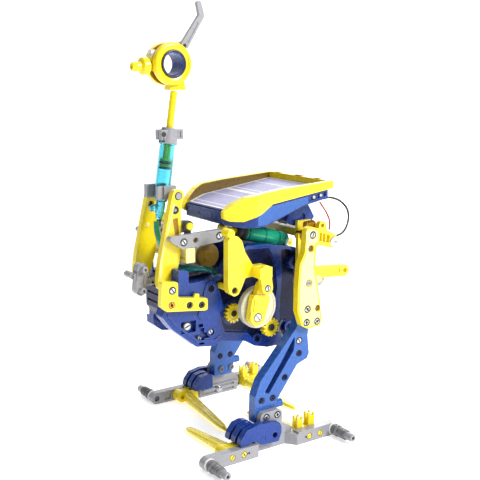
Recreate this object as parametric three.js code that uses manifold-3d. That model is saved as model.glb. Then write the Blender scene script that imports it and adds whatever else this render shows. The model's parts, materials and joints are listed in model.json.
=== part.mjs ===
// A walking bird robot from a snap-together kit: two stepping legs on cranks, a piston neck, a pump and a tilting solar panel.
// Millimetres, +Z up, beak towards -Y, the bird's left side towards +X.
import * as THREE from "three";
import { mergeVertices } from "three/addons/utils/BufferGeometryUtils.js";
import Module from "manifold-3d";

const wasm = await Module();
wasm.setup();

// ---- driving dimensions ----
const PITCH = 10; // hole spacing of the kit's beams
const HOLE_R = 2.5; // pin hole
const GAP = 0.3;
const STEP = 31; // how far the right foot stands behind the left one
const FRAME_Y = -41.81; // moves the kit so that its box is centred on the origin
const NECK_SLOPE = 0.155; // rearward lean of the neck per unit of height
const NECK_TOP = [-11.9, 257.8];
const CRANK_Y = 79.3, CRANK_Z = 119.4, THROW = STEP / 2; // hip crank
const DISC_Y = 27.6, DISC_Z = 104.3, DISC_R = 15.5; // drive disc
const DISC_PIN = [22.4, 98.7];
const ROCKER = [6.9, 119.4];
const ROCKER_EYE = [28, 120.2];
const HEAD = [-16.4, 275.9], EYE_R = 14.8, EYE_BORE = 9.5;
const BAR_OUT = 68, BAR_IN = 61.5; // outer foot beams
const MID_OUT = 60.2, MID_IN = 53.7; // inset middle of the foot
const TRAY_SLOPE = 0.137;
const trayTop = (y) => 171.5 + TRAY_SLOPE * (y - 12.5);
const neckY = (z) => NECK_TOP[0] - (NECK_TOP[1] - z) * NECK_SLOPE;

// ---- solids ----
const solid = (geometry) => {
  const g = geometry.index ? geometry.toNonIndexed() : geometry;
  const p = new THREE.BufferGeometry().setAttribute("position", g.getAttribute("position"));
  const m = mergeVertices(p, 1e-4);
  return new wasm.Manifold(new wasm.Mesh({
    numProp: 3,
    vertProperties: new Float32Array(m.attributes.position.array),
    triVerts: new Uint32Array(m.index.array),
  }));
};
const basis = (a, b, c, o) => new THREE.Matrix4().makeBasis(new THREE.Vector3(...a), new THREE.Vector3(...b), new THREE.Vector3(...c)).setPosition(...o);
const outline = (pts) => new THREE.Shape(pts.map((p) => new THREE.Vector2(p[0], p[1])));
const slab = (pts, depth) => new THREE.ExtrudeGeometry(outline(pts), { depth, bevelEnabled: false, curveSegments: 4 });
// Outline in (y, z), thickness along X.
const prismX = (pts, x0, x1) => solid(slab(pts, x1 - x0).applyMatrix4(basis([0, 1, 0], [0, 0, 1], [1, 0, 0], [x0, 0, 0])));
// Outline in (x, y), thickness along Z.
const prismZ = (pts, z0, z1) => solid(slab(pts, z1 - z0).translate(0, 0, z0));
// Outline in (x, z), thickness along Y.
const prismY = (pts, y0, y1) => solid(slab(pts, y1 - y0).applyMatrix4(basis([1, 0, 0], [0, 0, 1], [0, -1, 0], [0, y1, 0])));
const box = (x0, x1, y0, y1, z0, z1) => solid(new THREE.BoxGeometry(x1 - x0, y1 - y0, z1 - z0).translate((x0 + x1) / 2, (y0 + y1) / 2, (z0 + z1) / 2));
const rod = (a, b, r, r2 = r, n = 14) => {
  const p = new THREE.Vector3(...a), q = new THREE.Vector3(...b), d = q.clone().sub(p);
  const g = new THREE.CylinderGeometry(r2, r, d.length(), n);
  g.applyQuaternion(new THREE.Quaternion().setFromUnitVectors(new THREE.Vector3(0, 1, 0), d.clone().normalize()));
  return solid(g.translate(...p.add(q).multiplyScalar(0.5).toArray()));
};
const rodX = (y, z, r, x0, x1, n = 14) => rod([x0, y, z], [x1, y, z], r, r, n);
// A turned shape: profile of [radius, distance along the axis].
const turned = (a, b, profile, n = 18) => {
  const p = new THREE.Vector3(...a), d = new THREE.Vector3(...b).sub(p).normalize();
  const g = new THREE.LatheGeometry(profile.map((q) => new THREE.Vector2(q[0], q[1])), n);
  g.applyQuaternion(new THREE.Quaternion().setFromUnitVectors(new THREE.Vector3(0, 1, 0), d));
  return solid(g.translate(...p.toArray()));
};
// Convex outline round a set of circles [u, v, r].
const hull = (circles, n = 12) => {
  const pts = [];
  for (const [u, v, r] of circles)
    for (let i = 0; i < n; i++) {
      const t = (2 * Math.PI * i) / n;
      pts.push([u + r * Math.cos(t), v + r * Math.sin(t)]);
    }
  pts.sort((a, b) => a[0] - b[0] || a[1] - b[1]);
  const side = (list) => {
    const h = [];
    for (const p of list) {
      while (h.length > 1) {
        const [a, b] = [h[h.length - 2], h[h.length - 1]];
        if ((b[0] - a[0]) * (p[1] - a[1]) - (b[1] - a[1]) * (p[0] - a[0]) > 1e-9) break;
        h.pop();
      }
      h.push(p);
    }
    h.pop();
    return h;
  };
  return [...side(pts), ...side([...pts].reverse())];
};
const add = (...s) => s.reduce((a, b) => a.add(b));
const cut = (s, ...t) => t.reduce((a, b) => a.subtract(b), s);
const holesX = (s, list, x0, x1, r = HOLE_R) => cut(s, ...list.map(([y, z, q]) => rodX(y, z, q ?? r, x0 - 1, x1 + 1)));
const gear = (y, z, teeth, r, root, x0, x1) => {
  const pts = [];
  for (let i = 0; i < teeth; i++)
    for (const [f, q] of [[0, root], [0.34, root], [0.48, r], [0.86, r]]) {
      const t = (2 * Math.PI * (i + f)) / teeth;
      pts.push([y + q * Math.cos(t), z + q * Math.sin(t)]);
    }
  return prismX(pts, x0, x1);
};

// ---- nodes ----
const robot = new THREE.Group();
robot.name = "solar_robot_kit";
const COLOURS = {
  yellow: [0xf5dc1e, 0.35, 0], blue: [0x2b4fae, 0.35, 0], navy: [0x1b2a63, 0.4, 0], grey: [0xc4c4ca, 0.4, 0],
  dark: [0x3a3c40, 0.6, 0], teal: [0x2fb6b0, 0.1, 0], cells: [0xa9a8c8, 0.2, 0.2], steel: [0x8c8f94, 0.3, 1],
  black: [0x161616, 0.5, 0], red: [0x8c2f2b, 0.5, 0],
};
const node = (name, s, colour, { mirror = false, dy = 0 } = {}) => {
  const m = s.getMesh(), n = m.numProp, v = new Float32Array(m.numVert * 3);
  for (let i = 0; i < m.numVert; i++) {
    v[3 * i] = (mirror ? -1 : 1) * m.vertProperties[i * n];
    v[3 * i + 1] = m.vertProperties[i * n + 1] + dy + FRAME_Y;
    v[3 * i + 2] = m.vertProperties[i * n + 2];
  }
  const index = new Uint32Array(m.triVerts);
  if (mirror) for (let i = 0; i < index.length; i += 3) [index[i + 1], index[i + 2]] = [index[i + 2], index[i + 1]];
  const g = new THREE.BufferGeometry();
  g.setAttribute("position", new THREE.BufferAttribute(v, 3));
  g.setIndex(new THREE.BufferAttribute(index, 1));
  g.computeVertexNormals();
  const [color, roughness, metalness] = COLOURS[colour];
  const mesh = new THREE.Mesh(g, new THREE.MeshStandardMaterial({ color, roughness, metalness }));
  mesh.name = name;
  robot.add(mesh);
};
const pair = (name, s, colour, dy = 0) => {
  node(name + "_left", s, colour);
  node(name + "_right", s, colour, { mirror: true, dy });
};

// Foot: an inset middle beam between two outer beams, an ankle lug with two pin holes, and axle stubs.
const footPlan = [[61.5, -20], [68, -20], [68, 14], [60.2, 14], [60.2, 43.2], [68, 49.2], [68, 76], [61.5, 76], [61.5, 54], [53.7, 47], [53.7, 9], [61.5, 9]];
const axle = (y) => add(
  rod([67, y, 5], [91, y, 5], 2.6, 2.6, 10), rod([68, y, 5], [75.5, y, 5], 4.4, 4.4, 12),
  rod([77.5, y, 5], [83, y, 5], 3.9, 3.9, 12));
const lug = prismX([[20.5, 4], [20.5, 19.4], [21.4, 25.6], [23.4, 28], [38, 28.4], [40.6, 26.2], [41, 21.5], [40.2, 17.5], [47.8, 13.6], [50, 8.4], [50, 4]], 55.4, 60.2);
const footFrame = add(
  prismZ(footPlan, 0, 8.5), box(BAR_IN, BAR_OUT, -27.4, 14, 0, 9.5), box(BAR_IN, BAR_OUT, 50.5, 83.5, 0, 9.5),
  rodX(-27.4, 4.75, 4.75, BAR_IN, BAR_OUT, 16), rodX(83.5, 4.75, 4.75, BAR_IN, BAR_OUT, 16),
  axle(-27.4), axle(83.5), holesX(lug, [[26.5, 24.2], [36.5, 24.2]], 55, 61));
pair("foot_frame", footFrame, "grey", STEP);

// Toes: three plates on a cross bar.
const toeOuter = [[-0.5, 9.9], [0.9, 15.5], [5.6, 21.1], [15.8, 23.1], [27.1, 22.3], [34.4, 20.6], [36, 17], [36, 12.5], [33.4, 6.4], [17.6, 7.4], [15, 10.6], [10.6, 11.6], [7.4, 9.9]];
const toeInner = [[-0.5, 9.9], [0.9, 15.5], [5.6, 21.1], [12, 22.3], [17, 21.6], [17.4, 9.9]];
const toes = add(
  holesX(prismX(toeOuter, 60.9, 66), [[30.3, 11.8, 2]], 60, 67), prismX(toeInner, 53.2, 58.4), prismX(toeInner, 45.5, 50.7), rodX(7, 15, 2.6, 46, 65, 8));
pair("toes", toes, "blue", STEP);

// Claws: long tapering blades that reach inwards along the floor.
const blade = (reach, yBase, yTip) => prismY([[60, 1], [60, 8.6], [40, 7.4], [reach + 8, 4.3], [reach + 1, 3], [reach, 1.6], [reach + 4, 0.6]], yBase - 24, yBase + 24)
  .intersect(prismZ([[60, yBase - 4.8], [60, yBase + 4.8], [reach + 12, yTip + 3.8], [reach + 3, yTip + 2.6], [reach, yTip], [reach + 3, yTip - 2.6], [reach + 12, yTip - 3.8]], 0, 20));
const frontClaw = (reach, yTip) => add(rodX(-8.2, 5, 4.6, 52, 61.2, 12), box(53, 61.2, -8, 7.5, 1, 9), blade(reach, -2.5, yTip));
const rearClaw = (reach, yTip) => add(box(53, 61.2, 54.4, 71, 0.8, 9), box(55, 61.2, 54.4, 59.4, 5, 18), box(55, 61.2, 65, 70.5, 5, 19), blade(reach, 59.2, yTip));
node("front_claw_left", frontClaw(-2.5, -4), "yellow");
node("front_claw_right", frontClaw(-19, -12), "yellow", { mirror: true, dy: STEP });
node("rear_claw_left", rearClaw(-2.5, 53), "yellow");
node("rear_claw_right", rearClaw(-14.5, 58), "yellow", { mirror: true, dy: STEP });

// Shin: leaning plate with a long pocket and five pin holes.
const shinOutline = [[19.9, 18.6], [36.6, 18.6], [38.6, 23], [40.1, 33.5], [58.3, 57.1], [67.6, 60.2], [69.4, 63.9], [67.9, 77.5], [70, 94.8], [62, 94.8], [57.2, 85.3], [25, 50.5], [20.4, 39.3]];
const shin = holesX(cut(add(prismX(shinOutline, 47, 55), rod([51, 38, 29], [51, 46.5, 29], 3.1, 3.1, 10)),
  prismX([[55, 75.5], [55.6, 71.9], [54.8, 68.1], [32.5, 39.6], [28.2, 40.6]], 49.5, 56)),
  [[60, 75], [60, 65.2], [47, 49], [25.9, 35.4], [36, 35.4]], 46, 56);
pair("shin", shin, "blue", STEP);

// Leg plate: carries the shin, hangs on the hip crank's pin, and has a ribbed arm and a tail.
const plateOutline = [[61.2, 159.9], [59.4, 141.8], [55.1, 134.5], [53.7, 116.1], [53.6, 99.5], [57.5, 88.1], [63.4, 85], [75.3, 85.8], [76.2, 90], [74.9, 103.6], [69.2, 129.9], [70.5, 147.2],
  [84, 143.6], [88.8, 144.4], [91, 148], [89, 152.2], [81.9, 156], [64.9, 161.1]];
const rearPlate = holesX(cut(add(prismX(plateOutline, 55.4, 60.8), prismX(hull([[68.5, 126, 4.6], [101.5, 123.4, 4.4]], 12), 52.5, 56.5)),
  prismX([[73, 150.2], [81, 147.9], [82, 153.2], [73.6, 156]], 58.2, 62)),
  [[66.7, 154.8], [65.4, 144.8], [63.8, 119.4], [62.7, 100], [72.7, 99.3], [62, 90], [72, 89.4]], 55, 61);
const plateDrilled = cut(rearPlate, rodX(102, 123.3, 1.9, 52, 57, 8), rodX(86.3, 148.1, 2.2, 54, 62, 8));
pair("rear_plate", plateDrilled, "yellow", STEP);

// Hip cranks: left throw forward, right throw rearward.
const hipCrank = (dir) => add(
  prismX(hull([[CRANK_Y, CRANK_Z, 6.2], [CRANK_Y + dir * THROW, CRANK_Z, 4.6]], 12), 47.4, 52.1),
  rodX(CRANK_Y, CRANK_Z, 3.2, 21, 48), rodX(CRANK_Y + dir * THROW, CRANK_Z, 2.35, 51, 60.4));
node("hip_crank_left", hipCrank(-1), "grey");
node("hip_crank_right", hipCrank(1), "grey", { mirror: true });

// Body shells with the pin bores, gear recess and shaft bores.
const shellOutline = [[-41.3, 103.1], [-33.5, 93.1], [-13.9, 77.1], [1.4, 75.1], [6.6, 77.9], [28.8, 74], [37, 68.8], [49.1, 65.6], [57.6, 65.6], [74.9, 70.5], [84, 82], [88, 100], [87.5, 119], [83, 131], [74, 140.2],
  [50.3, 144.6], [30, 145.8], [18, 139], [9, 127], [3, 125.4], [-6, 125], [-19.9, 124], [-19.9, 133.7], [-28, 134.7], [-28, 121.8], [-38, 112]];
const shell = cut(holesX(prismX(shellOutline, 20, 31), [[-1.3, 118.6], [-1.5, 86.1], [39.3, 73.9], [CRANK_Y, CRANK_Z, 3.5], [DISC_Y, DISC_Z, 3.3], [18, 97, 2.7], [46, 83.8, 2.7], [ROCKER[0], ROCKER[1], 2.7]], 20, 31),
  rodX(18, 97, 8.7, 25.4, 32, 18), box(26, 32, -27, -14, 88.4, 97.4));
node("body_shell_left", shell, "navy");
node("body_shell_right", cut(shell.mirror([1, 0, 0]), box(-32, -19, -45, -21, 60, 140)), "navy");
const caseOutline = [[-27, 100], [-16, 84], [6, 80.5], [40, 73], [70, 76], [81, 98], [79, 120], [66, 127], [-17, 127], [-27, 118]];
node("gearbox_case", prismX(caseOutline, -19.7, 19.7), "navy");
node("drive_motor", add(rodX(6.5, 138.6, 9.2, -15, 15, 18), box(-12, 12, -1, 14, 127.3, 132)), "steel");

// Chest: brackets, cross post, connector.
const bracketOutline = [[-44.4, 130.2], [-31.8, 128.4], [-32, 117.3], [-7.8, 113.6], [-7.8, 104.6], [-41, 108.6], [-45.5, 112.5]];
const bracket = holesX(prismX(bracketOutline, 31.3, 36), [[-36.3, 123], [-36.9, 112.6], [-22.4, 110.4], [-12.5, 109.2]], 31, 37);
node("chest_bracket_left", bracket, "yellow");
node("chest_bracket_right", cut(bracket.mirror([1, 0, 0]), box(-37, -30, -50, -28.5, 100, 135)), "yellow");
node("chest_post", add(box(-26, 26, -19, -11.6, 138, 148.7), box(-6, 6, -16.4, -12, 127.3, 139)), "yellow");
node("chest_connector", add(
  prismX(hull([[-44.5, 134.2, 4], [-46, 119, 4]], 12), 2, 9), rod([5.5, -42, 123.5], [5.5, -28, 123.5], 2.7, 2.7, 12), rodX(-44.5, 134.2, 2.2, 8, 13, 10), rodX(-46, 119, 2.2, 8, 13, 10),
  rodX(-50.8, 129.5, 2.6, -4, 6, 10), box(3, 8, -50.8, -44, 127.6, 131.4)), "grey");

// Neck: two levers on one cross axis, with the barrel held between them.
const leverOutline = [[-25.9, 186.6], [-24, 189.4], [-20.8, 190.2], [-17.6, 188.6], [-16.5, 185.6], [-18.4, 180.4], [-19.2, 176], [-19.4, 161.1], [-20.6, 140], [-24, 129], [-28.3, 120.6], [-33, 118], [-37.8, 120.8], [-38.6, 127], [-36.8, 140.2]];
pair("front_lever", holesX(prismX(leverOutline, 15, 20), [[-21.1, 185.4], [-23.8, 175.7], [-33, 123]], 15, 20), "yellow");
const n = (z, x = 0) => [x, neckY(z), z];
node("neck_barrel", cut(turned(n(183.2), n(222), [[0, 0], [5.8, 0], [5.8, 36.6], [6.5, 36.8], [6.5, 38.2], [0, 38.2]], 18), rod(n(188), n(230), 4.6, 4.6, 16)), "teal");
node("neck_cap", cut(add(rod(n(221.9), n(231.6), 5.6, 5.6, 14), box(-4.5, 4.5, -25, -7.2, 223.4, 230.6)), rod(n(215), n(240), 2.95, 2.95, 12)), "grey");
node("neck_collar", cut(add(box(-10.5, 10.5, -31.8, -17, 182, 191.6), rodX(-21.1, 185.4, 2.25, -20.4, 20.4, 10)), rod(n(170), n(205), 6.3, 6.3, 18)), "grey");
node("neck_nozzle", add(turned(n(182.8), n(160), [[0, 0], [4.6, 0], [4.6, 3], [3.4, 4], [3.4, 12], [2.6, 13], [2.6, 16], [0, 16]], 12), rod([0, -24, 176], [0, -33, 175], 2.6, 2.2, 10)), "teal");
node("piston_rod", add(rod(n(207), n(257.2), 2.5, 2.5, 12), rod(n(204), n(210), 4.35, 4.35, 14)), "yellow");

// Head.
const [hy, hz] = HEAD;
pair("eye_ring", cut(turned([3.6, hy, hz], [9, hy, hz], [[0, 0], [EYE_R, 0], [EYE_R, 3.6], [EYE_R - 1.6, 5.2], [0, 5.2]], 26), rodX(hy, hz, EYE_BORE, 3, 10, 22)), "yellow");
node("eye_liner", cut(rodX(hy, hz, EYE_BORE - 0.35, -8.4, 8.4, 22), rodX(hy, hz, 7.9, -9, 9, 22)), "blue");
node("head_core", cut(add(rodX(hy, hz, 12, -3.2, 3.2, 22), box(-5, 5, -17.2, -5, 258, 260.6), box(-3.2, 3.2, -17.2, -5, 258, 266), box(-3, 3, -31.2, -26, 271, 281), prismX(hull([[-4.5, 288.6, 3.2], [-12, 281, 4]], 12), -3.2, 0)),
  rodX(hy, hz, EYE_BORE, -4, 4, 22)), "yellow");
node("beak", turned([0, -31.6, 274.6], [0, -50, 273.8], [[0, 0], [4.4, 0], [6.1, 1.6], [6.1, 5.8], [3.4, 6.4], [3.1, 12.6], [2.2, 13.8], [0, 13.8]], 14), "yellow");
node("crest", add(prismX(hull([[-4.5, 288.6, 3], [9.8, 309.6, 2.1]], 12), 0.3, 3.2), prismX(hull([[9.8, 309.6, 2.1], [7.7, 317.6, 1.8]], 12), 0.3, 3.2)), "grey");

// Solar panel: tray, flared frame, two cells and the block it hinges on.
const plan = (o) => [[-26.5 - o, 12.5 - o], [26.5 + o, 12.5 - o], [38 + o, 33 - o * 0.6], [38 + o, 100.5 + o], [-38 - o, 100.5 + o], [-38 - o, 33 - o * 0.6]];
const trayProfile = [[12, trayTop(12)], [101, trayTop(101)], [101, 176.8], [93.5, 175.4], [76, 172.3], [41, 160.2], [25, 159.8], [14, 162], [12, 163.5]];
const pumpA = [13, 38.5, 152.9], pumpB = [13, 80.5, 141.6];
const pump = (s) => pumpA.map((v, i) => v + ((pumpB[i] - v) * s) / Math.hypot(42, 11.3));
node("panel_tray", cut(prismX(trayProfile, -39, 39).intersect(prismZ(plan(0), 150, 200)), rod(pump(-14), pump(30), 7.6, 7.6, 14)), "blue");
const wall = [[9, 168], [14, 165.5], [23, 165], [36, 170.2], [45.5, 176.5], [88.8, 182.3], [105, 184.4], [105, 190], [55, 186.8], [35, 184.8], [25, 182.4], [17, 178], [9, 172]];
const below = (o) => [[0, trayTop(0) + o], [120, trayTop(120) + o], [120, 140], [0, 140]];
node("panel_frame", cut(prismZ(plan(2.8), 150, 200).intersect(prismX(wall, -45, 45)), prismZ(plan(-1.4), 140, 210), prismZ(plan(0.35), 140, 210).intersect(prismX(below(0.35), -45, 45)), box(-26.6, 26.6, 0, 14.5, 150, 200)), "yellow");
const cellBand = (o) => [[0, trayTop(0) + o], [120, trayTop(120) + o], [120, trayTop(120) + o + 1.3], [0, trayTop(0) + o + 1.3]];
const cell = (y0, y1) => prismX(cellBand(0.3), -45, 45).intersect(prismZ(plan(-1.9), 140, 210)).intersect(box(-45, 45, y0, y1, 140, 210));
node("solar_cell_front", cell(13, 55), "cells");
node("solar_cell_rear", cell(57, 98.4), "cells");
node("panel_mount", prismX([[72.5, 158.6], [76, 169.6], [80, 172.2], [91, 174.2], [99.6, 160], [96, 155.6], [80, 154.4]], -22, 22), "blue");
const yokeSide = add(box(31.3, 34.5, 74, 90, 129, 151), box(23, 26, 80, 93, 151, 159));
node("rear_yoke", add(box(-51.8, 51.8, 82.8, 91, 146, 152), yokeSide, yokeSide.mirror([1, 0, 0])), "yellow");

// Pump under the panel, with its hose.
node("pump_barrel", cut(turned(pumpA, pumpB, [[0, 0.3], [6.2, 0.3], [6.2, 38], [5, 42], [2.4, 43.4], [0, 43.4]], 18), rod(pump(-4), pump(34), 4.8, 4.8, 16)), "teal");
node("pump_collar", cut(turned(pump(-7), pumpB, [[0, 0], [6.9, 0], [6.9, 6.9], [0, 6.9]], 16), rod(pump(-12), pump(5), 2.5, 2.5, 12)), "dark");
node("pump_plunger", add(rod(pump(-19), pump(22), 2, 2, 10), rod(pump(20), pump(25), 4.5, 4.5, 14), rodX(pump(-19)[1], pump(-19)[2], 2.4, 9, 17, 10)), "yellow");
const route = (pts) => new THREE.CatmullRomCurve3(pts.map((p) => new THREE.Vector3(...p)), false, "centripetal");
const tube = (pts, r, sides, steps) => solid(new THREE.ExtrudeGeometry(new THREE.Shape(Array.from({ length: sides }, (_, i) => new THREE.Vector2(r * Math.cos((2 * Math.PI * i) / sides), r * Math.sin((2 * Math.PI * i) / sides)))),
  { steps, extrudePath: route(pts), bevelEnabled: false }));
node("transfer_hose", tube([[0, -28.1, 165.6], [0.4, -28, 158], [1.4, -26, 150], [4.5, -23.4, 141], [10, -19.4, 134.4], [18, -14.6, 132.6], [24.4, -7, 132.8], [26, 0, 131.4], [25.8, 5, 128.6], [25.7, 5.8, 127.2]], 2, 8, 30), "teal");

// Drive disc, lever, rocker and stay.
pair("crank_disc", add(rodX(DISC_Y, DISC_Z, DISC_R, 44, 49, 28), rodX(DISC_Y, DISC_Z, 3, 21, 44.5), rodX(...DISC_PIN, 2.35, 48, 54.6)), "yellow");
const leverShape = hull([[22.3, 99.2, 6.4], [26.1, 112.3, 2.4], [20.8, 113, 2.4], [30.8, 111.6, 2.4]], 12);
pair("crank_lever", cut(add(prismX(leverShape, 49.3, 54.9), prismX(hull([[25.8, 112, 5], [...ROCKER_EYE, 4.4]], 12), 49.3, 54)), rodX(...DISC_PIN, 2.5, 48, 56), rodX(...ROCKER_EYE, 1.9, 48, 56)), "yellow");
const armOutline = [[1.1, 155.8], [4, 158.4], [9, 158.2], [12.8, 154.5], [15.4, 146.3], [22, 136.2], [22, 127.6], [15.6, 127.4], [12, 119.7], [9.6, 116.2], [6, 115.2], [1.8, 118.4], [1, 124.5]];
const eyeLug = hull([[...ROCKER_EYE, 4.5], [26.6, 133, 4], [24.5, 132, 3.2]], 16);
pair("rocker_arm", holesX(add(prismX(armOutline, 43, 49), box(44, 59, 21.3, 31.9, 127.6, 135.4), prismX(eyeLug, 55.3, 59), rodX(...ROCKER, 2.4, 24, 44, 12)), [[...ROCKER_EYE, 1.9]], 55, 60), "yellow");
pair("stay_link", holesX(prismX(hull([[-20.8, 153.5, 4.7], [9, 155, 4.5], [-29.6, 156.4, 2]], 12), 21.4, 26), [[-20.8, 153.5], [9, 155], [-11, 153.9, 1.8]], 21, 27), "grey");
pair("idler_gear", add(gear(18, 97, 14, 7.3, 5.6, 26, 31), rodX(18, 97, 2.3, 20.5, 30, 10)), "yellow");
pair("pinion", add(gear(46, 83.8, 14, 7.2, 5.4, 34.4, 39.4), rodX(46, 83.8, 2.3, 20.5, 38, 10)), "yellow");

// Wires from the panel to the rear yoke.
node("wire_black", tube([[33, 99.4, 175.2], [34.5, 104.5, 176], [38, 111, 173.5], [42.5, 114.5, 168], [45.5, 114, 161.5], [48, 110, 155], [49.5, 104.5, 150.8], [49.8, 98.6, 149.2]], 0.75, 8, 22), "black");
node("wire_red", tube([[41, 89, 174.6], [41.6, 90.6, 172], [43, 93.6, 167], [44.4, 95.6, 161.5], [45, 95.9, 156.5], [45.2, 94.9, 153.4]], 0.6, 8, 16), "red");

export default robot;
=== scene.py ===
import bpy, bmesh, json, math
import numpy as np
from mathutils import Vector, Matrix, Quaternion

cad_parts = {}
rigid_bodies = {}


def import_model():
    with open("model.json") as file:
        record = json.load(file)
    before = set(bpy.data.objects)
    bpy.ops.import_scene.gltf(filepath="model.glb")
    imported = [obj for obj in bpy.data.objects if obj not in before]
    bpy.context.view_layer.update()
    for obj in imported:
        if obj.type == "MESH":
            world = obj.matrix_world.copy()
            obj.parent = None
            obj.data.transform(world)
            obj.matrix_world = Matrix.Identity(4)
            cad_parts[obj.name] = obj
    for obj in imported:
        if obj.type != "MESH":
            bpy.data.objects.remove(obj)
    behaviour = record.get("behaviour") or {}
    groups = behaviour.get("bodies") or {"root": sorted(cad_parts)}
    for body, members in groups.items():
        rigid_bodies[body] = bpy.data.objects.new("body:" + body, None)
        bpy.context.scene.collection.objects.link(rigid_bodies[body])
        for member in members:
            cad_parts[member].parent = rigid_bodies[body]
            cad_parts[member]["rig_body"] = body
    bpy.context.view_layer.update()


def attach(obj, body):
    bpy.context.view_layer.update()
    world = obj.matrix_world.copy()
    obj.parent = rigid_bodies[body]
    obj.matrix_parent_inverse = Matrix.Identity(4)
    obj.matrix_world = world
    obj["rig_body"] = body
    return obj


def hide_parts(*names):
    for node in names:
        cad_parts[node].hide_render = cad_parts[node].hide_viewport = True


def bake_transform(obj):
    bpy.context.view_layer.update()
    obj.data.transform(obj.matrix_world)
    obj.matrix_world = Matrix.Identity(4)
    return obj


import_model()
FY = -41.81          # raw kit coordinates to the row frame
STEP = 31.0          # the right foot stands this far behind
scene = bpy.context.scene

# ------------------------------------------------------------------ camera
cam_data = bpy.data.cameras.new("camera")
cam_data.lens = 66.0
cam_data.sensor_width = 36.0
cam = bpy.data.objects.new("camera", cam_data)
cam.location = (0.5455, (-330.3 + FY) / 1000, 0.2725)
cam.rotation_euler = (math.radians(79), 0, math.radians(55.5))
cam_data.clip_start = 0.01
cam_data.clip_end = 20
scene.collection.objects.link(cam)
scene.camera = cam

# ------------------------------------------------------------------ materials
def nt(mat):
    mat.use_nodes = True
    return mat.node_tree.nodes, mat.node_tree.links


def plastic(name, color, dark, rough=0.3, grain=0.12, coat=0.25, edge_highlight=0.35, spec=0.5, streak=0.0):
    """Moulded plastic: large soft colour drift, fine grain, painted highlight on the edges, uneven gloss."""
    m = bpy.data.materials.new(name)
    n, l = nt(m)
    b = n["Principled BSDF"]
    b.inputs["Coat Weight"].default_value = coat
    b.inputs["Coat Roughness"].default_value = 0.12
    b.inputs["IOR"].default_value = 1.5
    b.inputs["Specular IOR Level"].default_value = spec
    tc = n.new("ShaderNodeTexCoord")
    big = n.new("ShaderNodeTexNoise"); big.inputs["Scale"].default_value = 16; big.inputs["Detail"].default_value = 2
    fine = n.new("ShaderNodeTexNoise"); fine.inputs["Scale"].default_value = 1500; fine.inputs["Detail"].default_value = 2
    mid = n.new("ShaderNodeTexNoise"); mid.inputs["Scale"].default_value = 260; mid.inputs["Detail"].default_value = 5
    for t in (big, fine, mid):
        l.new(tc.outputs["Object"], t.inputs["Vector"])
    ramp = n.new("ShaderNodeValToRGB")
    ramp.color_ramp.elements[0].position = 0.3; ramp.color_ramp.elements[0].color = (*dark, 1)
    ramp.color_ramp.elements[1].position = 0.62; ramp.color_ramp.elements[1].color = (*color, 1)
    l.new(big.outputs["Fac"], ramp.inputs["Fac"])
    # painted highlight on the edges, found from a rounded normal against the true one
    bev = n.new("ShaderNodeBevel"); bev.samples = 4; bev.inputs["Radius"].default_value = 0.0006
    geo = n.new("ShaderNodeNewGeometry")
    dot = n.new("ShaderNodeVectorMath"); dot.operation = "DOT_PRODUCT"
    l.new(bev.outputs["Normal"], dot.inputs[0]); l.new(geo.outputs["Normal"], dot.inputs[1])
    edge_highlight_range = n.new("ShaderNodeMapRange")
    edge_highlight_range.inputs["From Min"].default_value = 0.995; edge_highlight_range.inputs["From Max"].default_value = 0.86
    edge_highlight_range.inputs["To Min"].default_value = 0.0; edge_highlight_range.inputs["To Max"].default_value = edge_highlight
    l.new(dot.outputs["Value"], edge_highlight_range.inputs["Value"])
    mul = n.new("ShaderNodeMath"); mul.operation = "MULTIPLY"; mul.use_clamp = True
    er2 = n.new("ShaderNodeMapRange"); er2.inputs["From Min"].default_value = 0.35; er2.inputs["From Max"].default_value = 0.6
    er2.inputs["To Min"].default_value = 0.45; er2.inputs["To Max"].default_value = 1.0
    l.new(mid.outputs["Fac"], er2.inputs["Value"])
    l.new(edge_highlight_range.outputs["Result"], mul.inputs[0]); l.new(er2.outputs["Result"], mul.inputs[1])
    mix = n.new("ShaderNodeMix"); mix.data_type = "RGBA"
    # painted highlight colour: a lighter tint of the base colour
    edge_highlight_tint = tuple(min(1, c * 0.8 + 0.26) for c in color)
    mix.inputs["B"].default_value = (*edge_highlight_tint, 1)
    l.new(mul.outputs[0], mix.inputs["Factor"]); l.new(ramp.outputs["Color"], mix.inputs["A"])
    l.new(mix.outputs["Result"], b.inputs["Base Color"])
    rr = n.new("ShaderNodeMapRange"); rr.inputs["From Min"].default_value = 0.3; rr.inputs["From Max"].default_value = 0.7
    rr.inputs["To Min"].default_value = rough - 0.07; rr.inputs["To Max"].default_value = rough + 0.1
    l.new(mid.outputs["Fac"], rr.inputs["Value"]); l.new(rr.outputs["Result"], b.inputs["Roughness"])
    bump = n.new("ShaderNodeBump"); bump.inputs["Strength"].default_value = grain; bump.inputs["Distance"].default_value = 0.00012
    l.new(fine.outputs["Fac"], bump.inputs["Height"]); l.new(bump.outputs["Normal"], b.inputs["Normal"])
    return m


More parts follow.
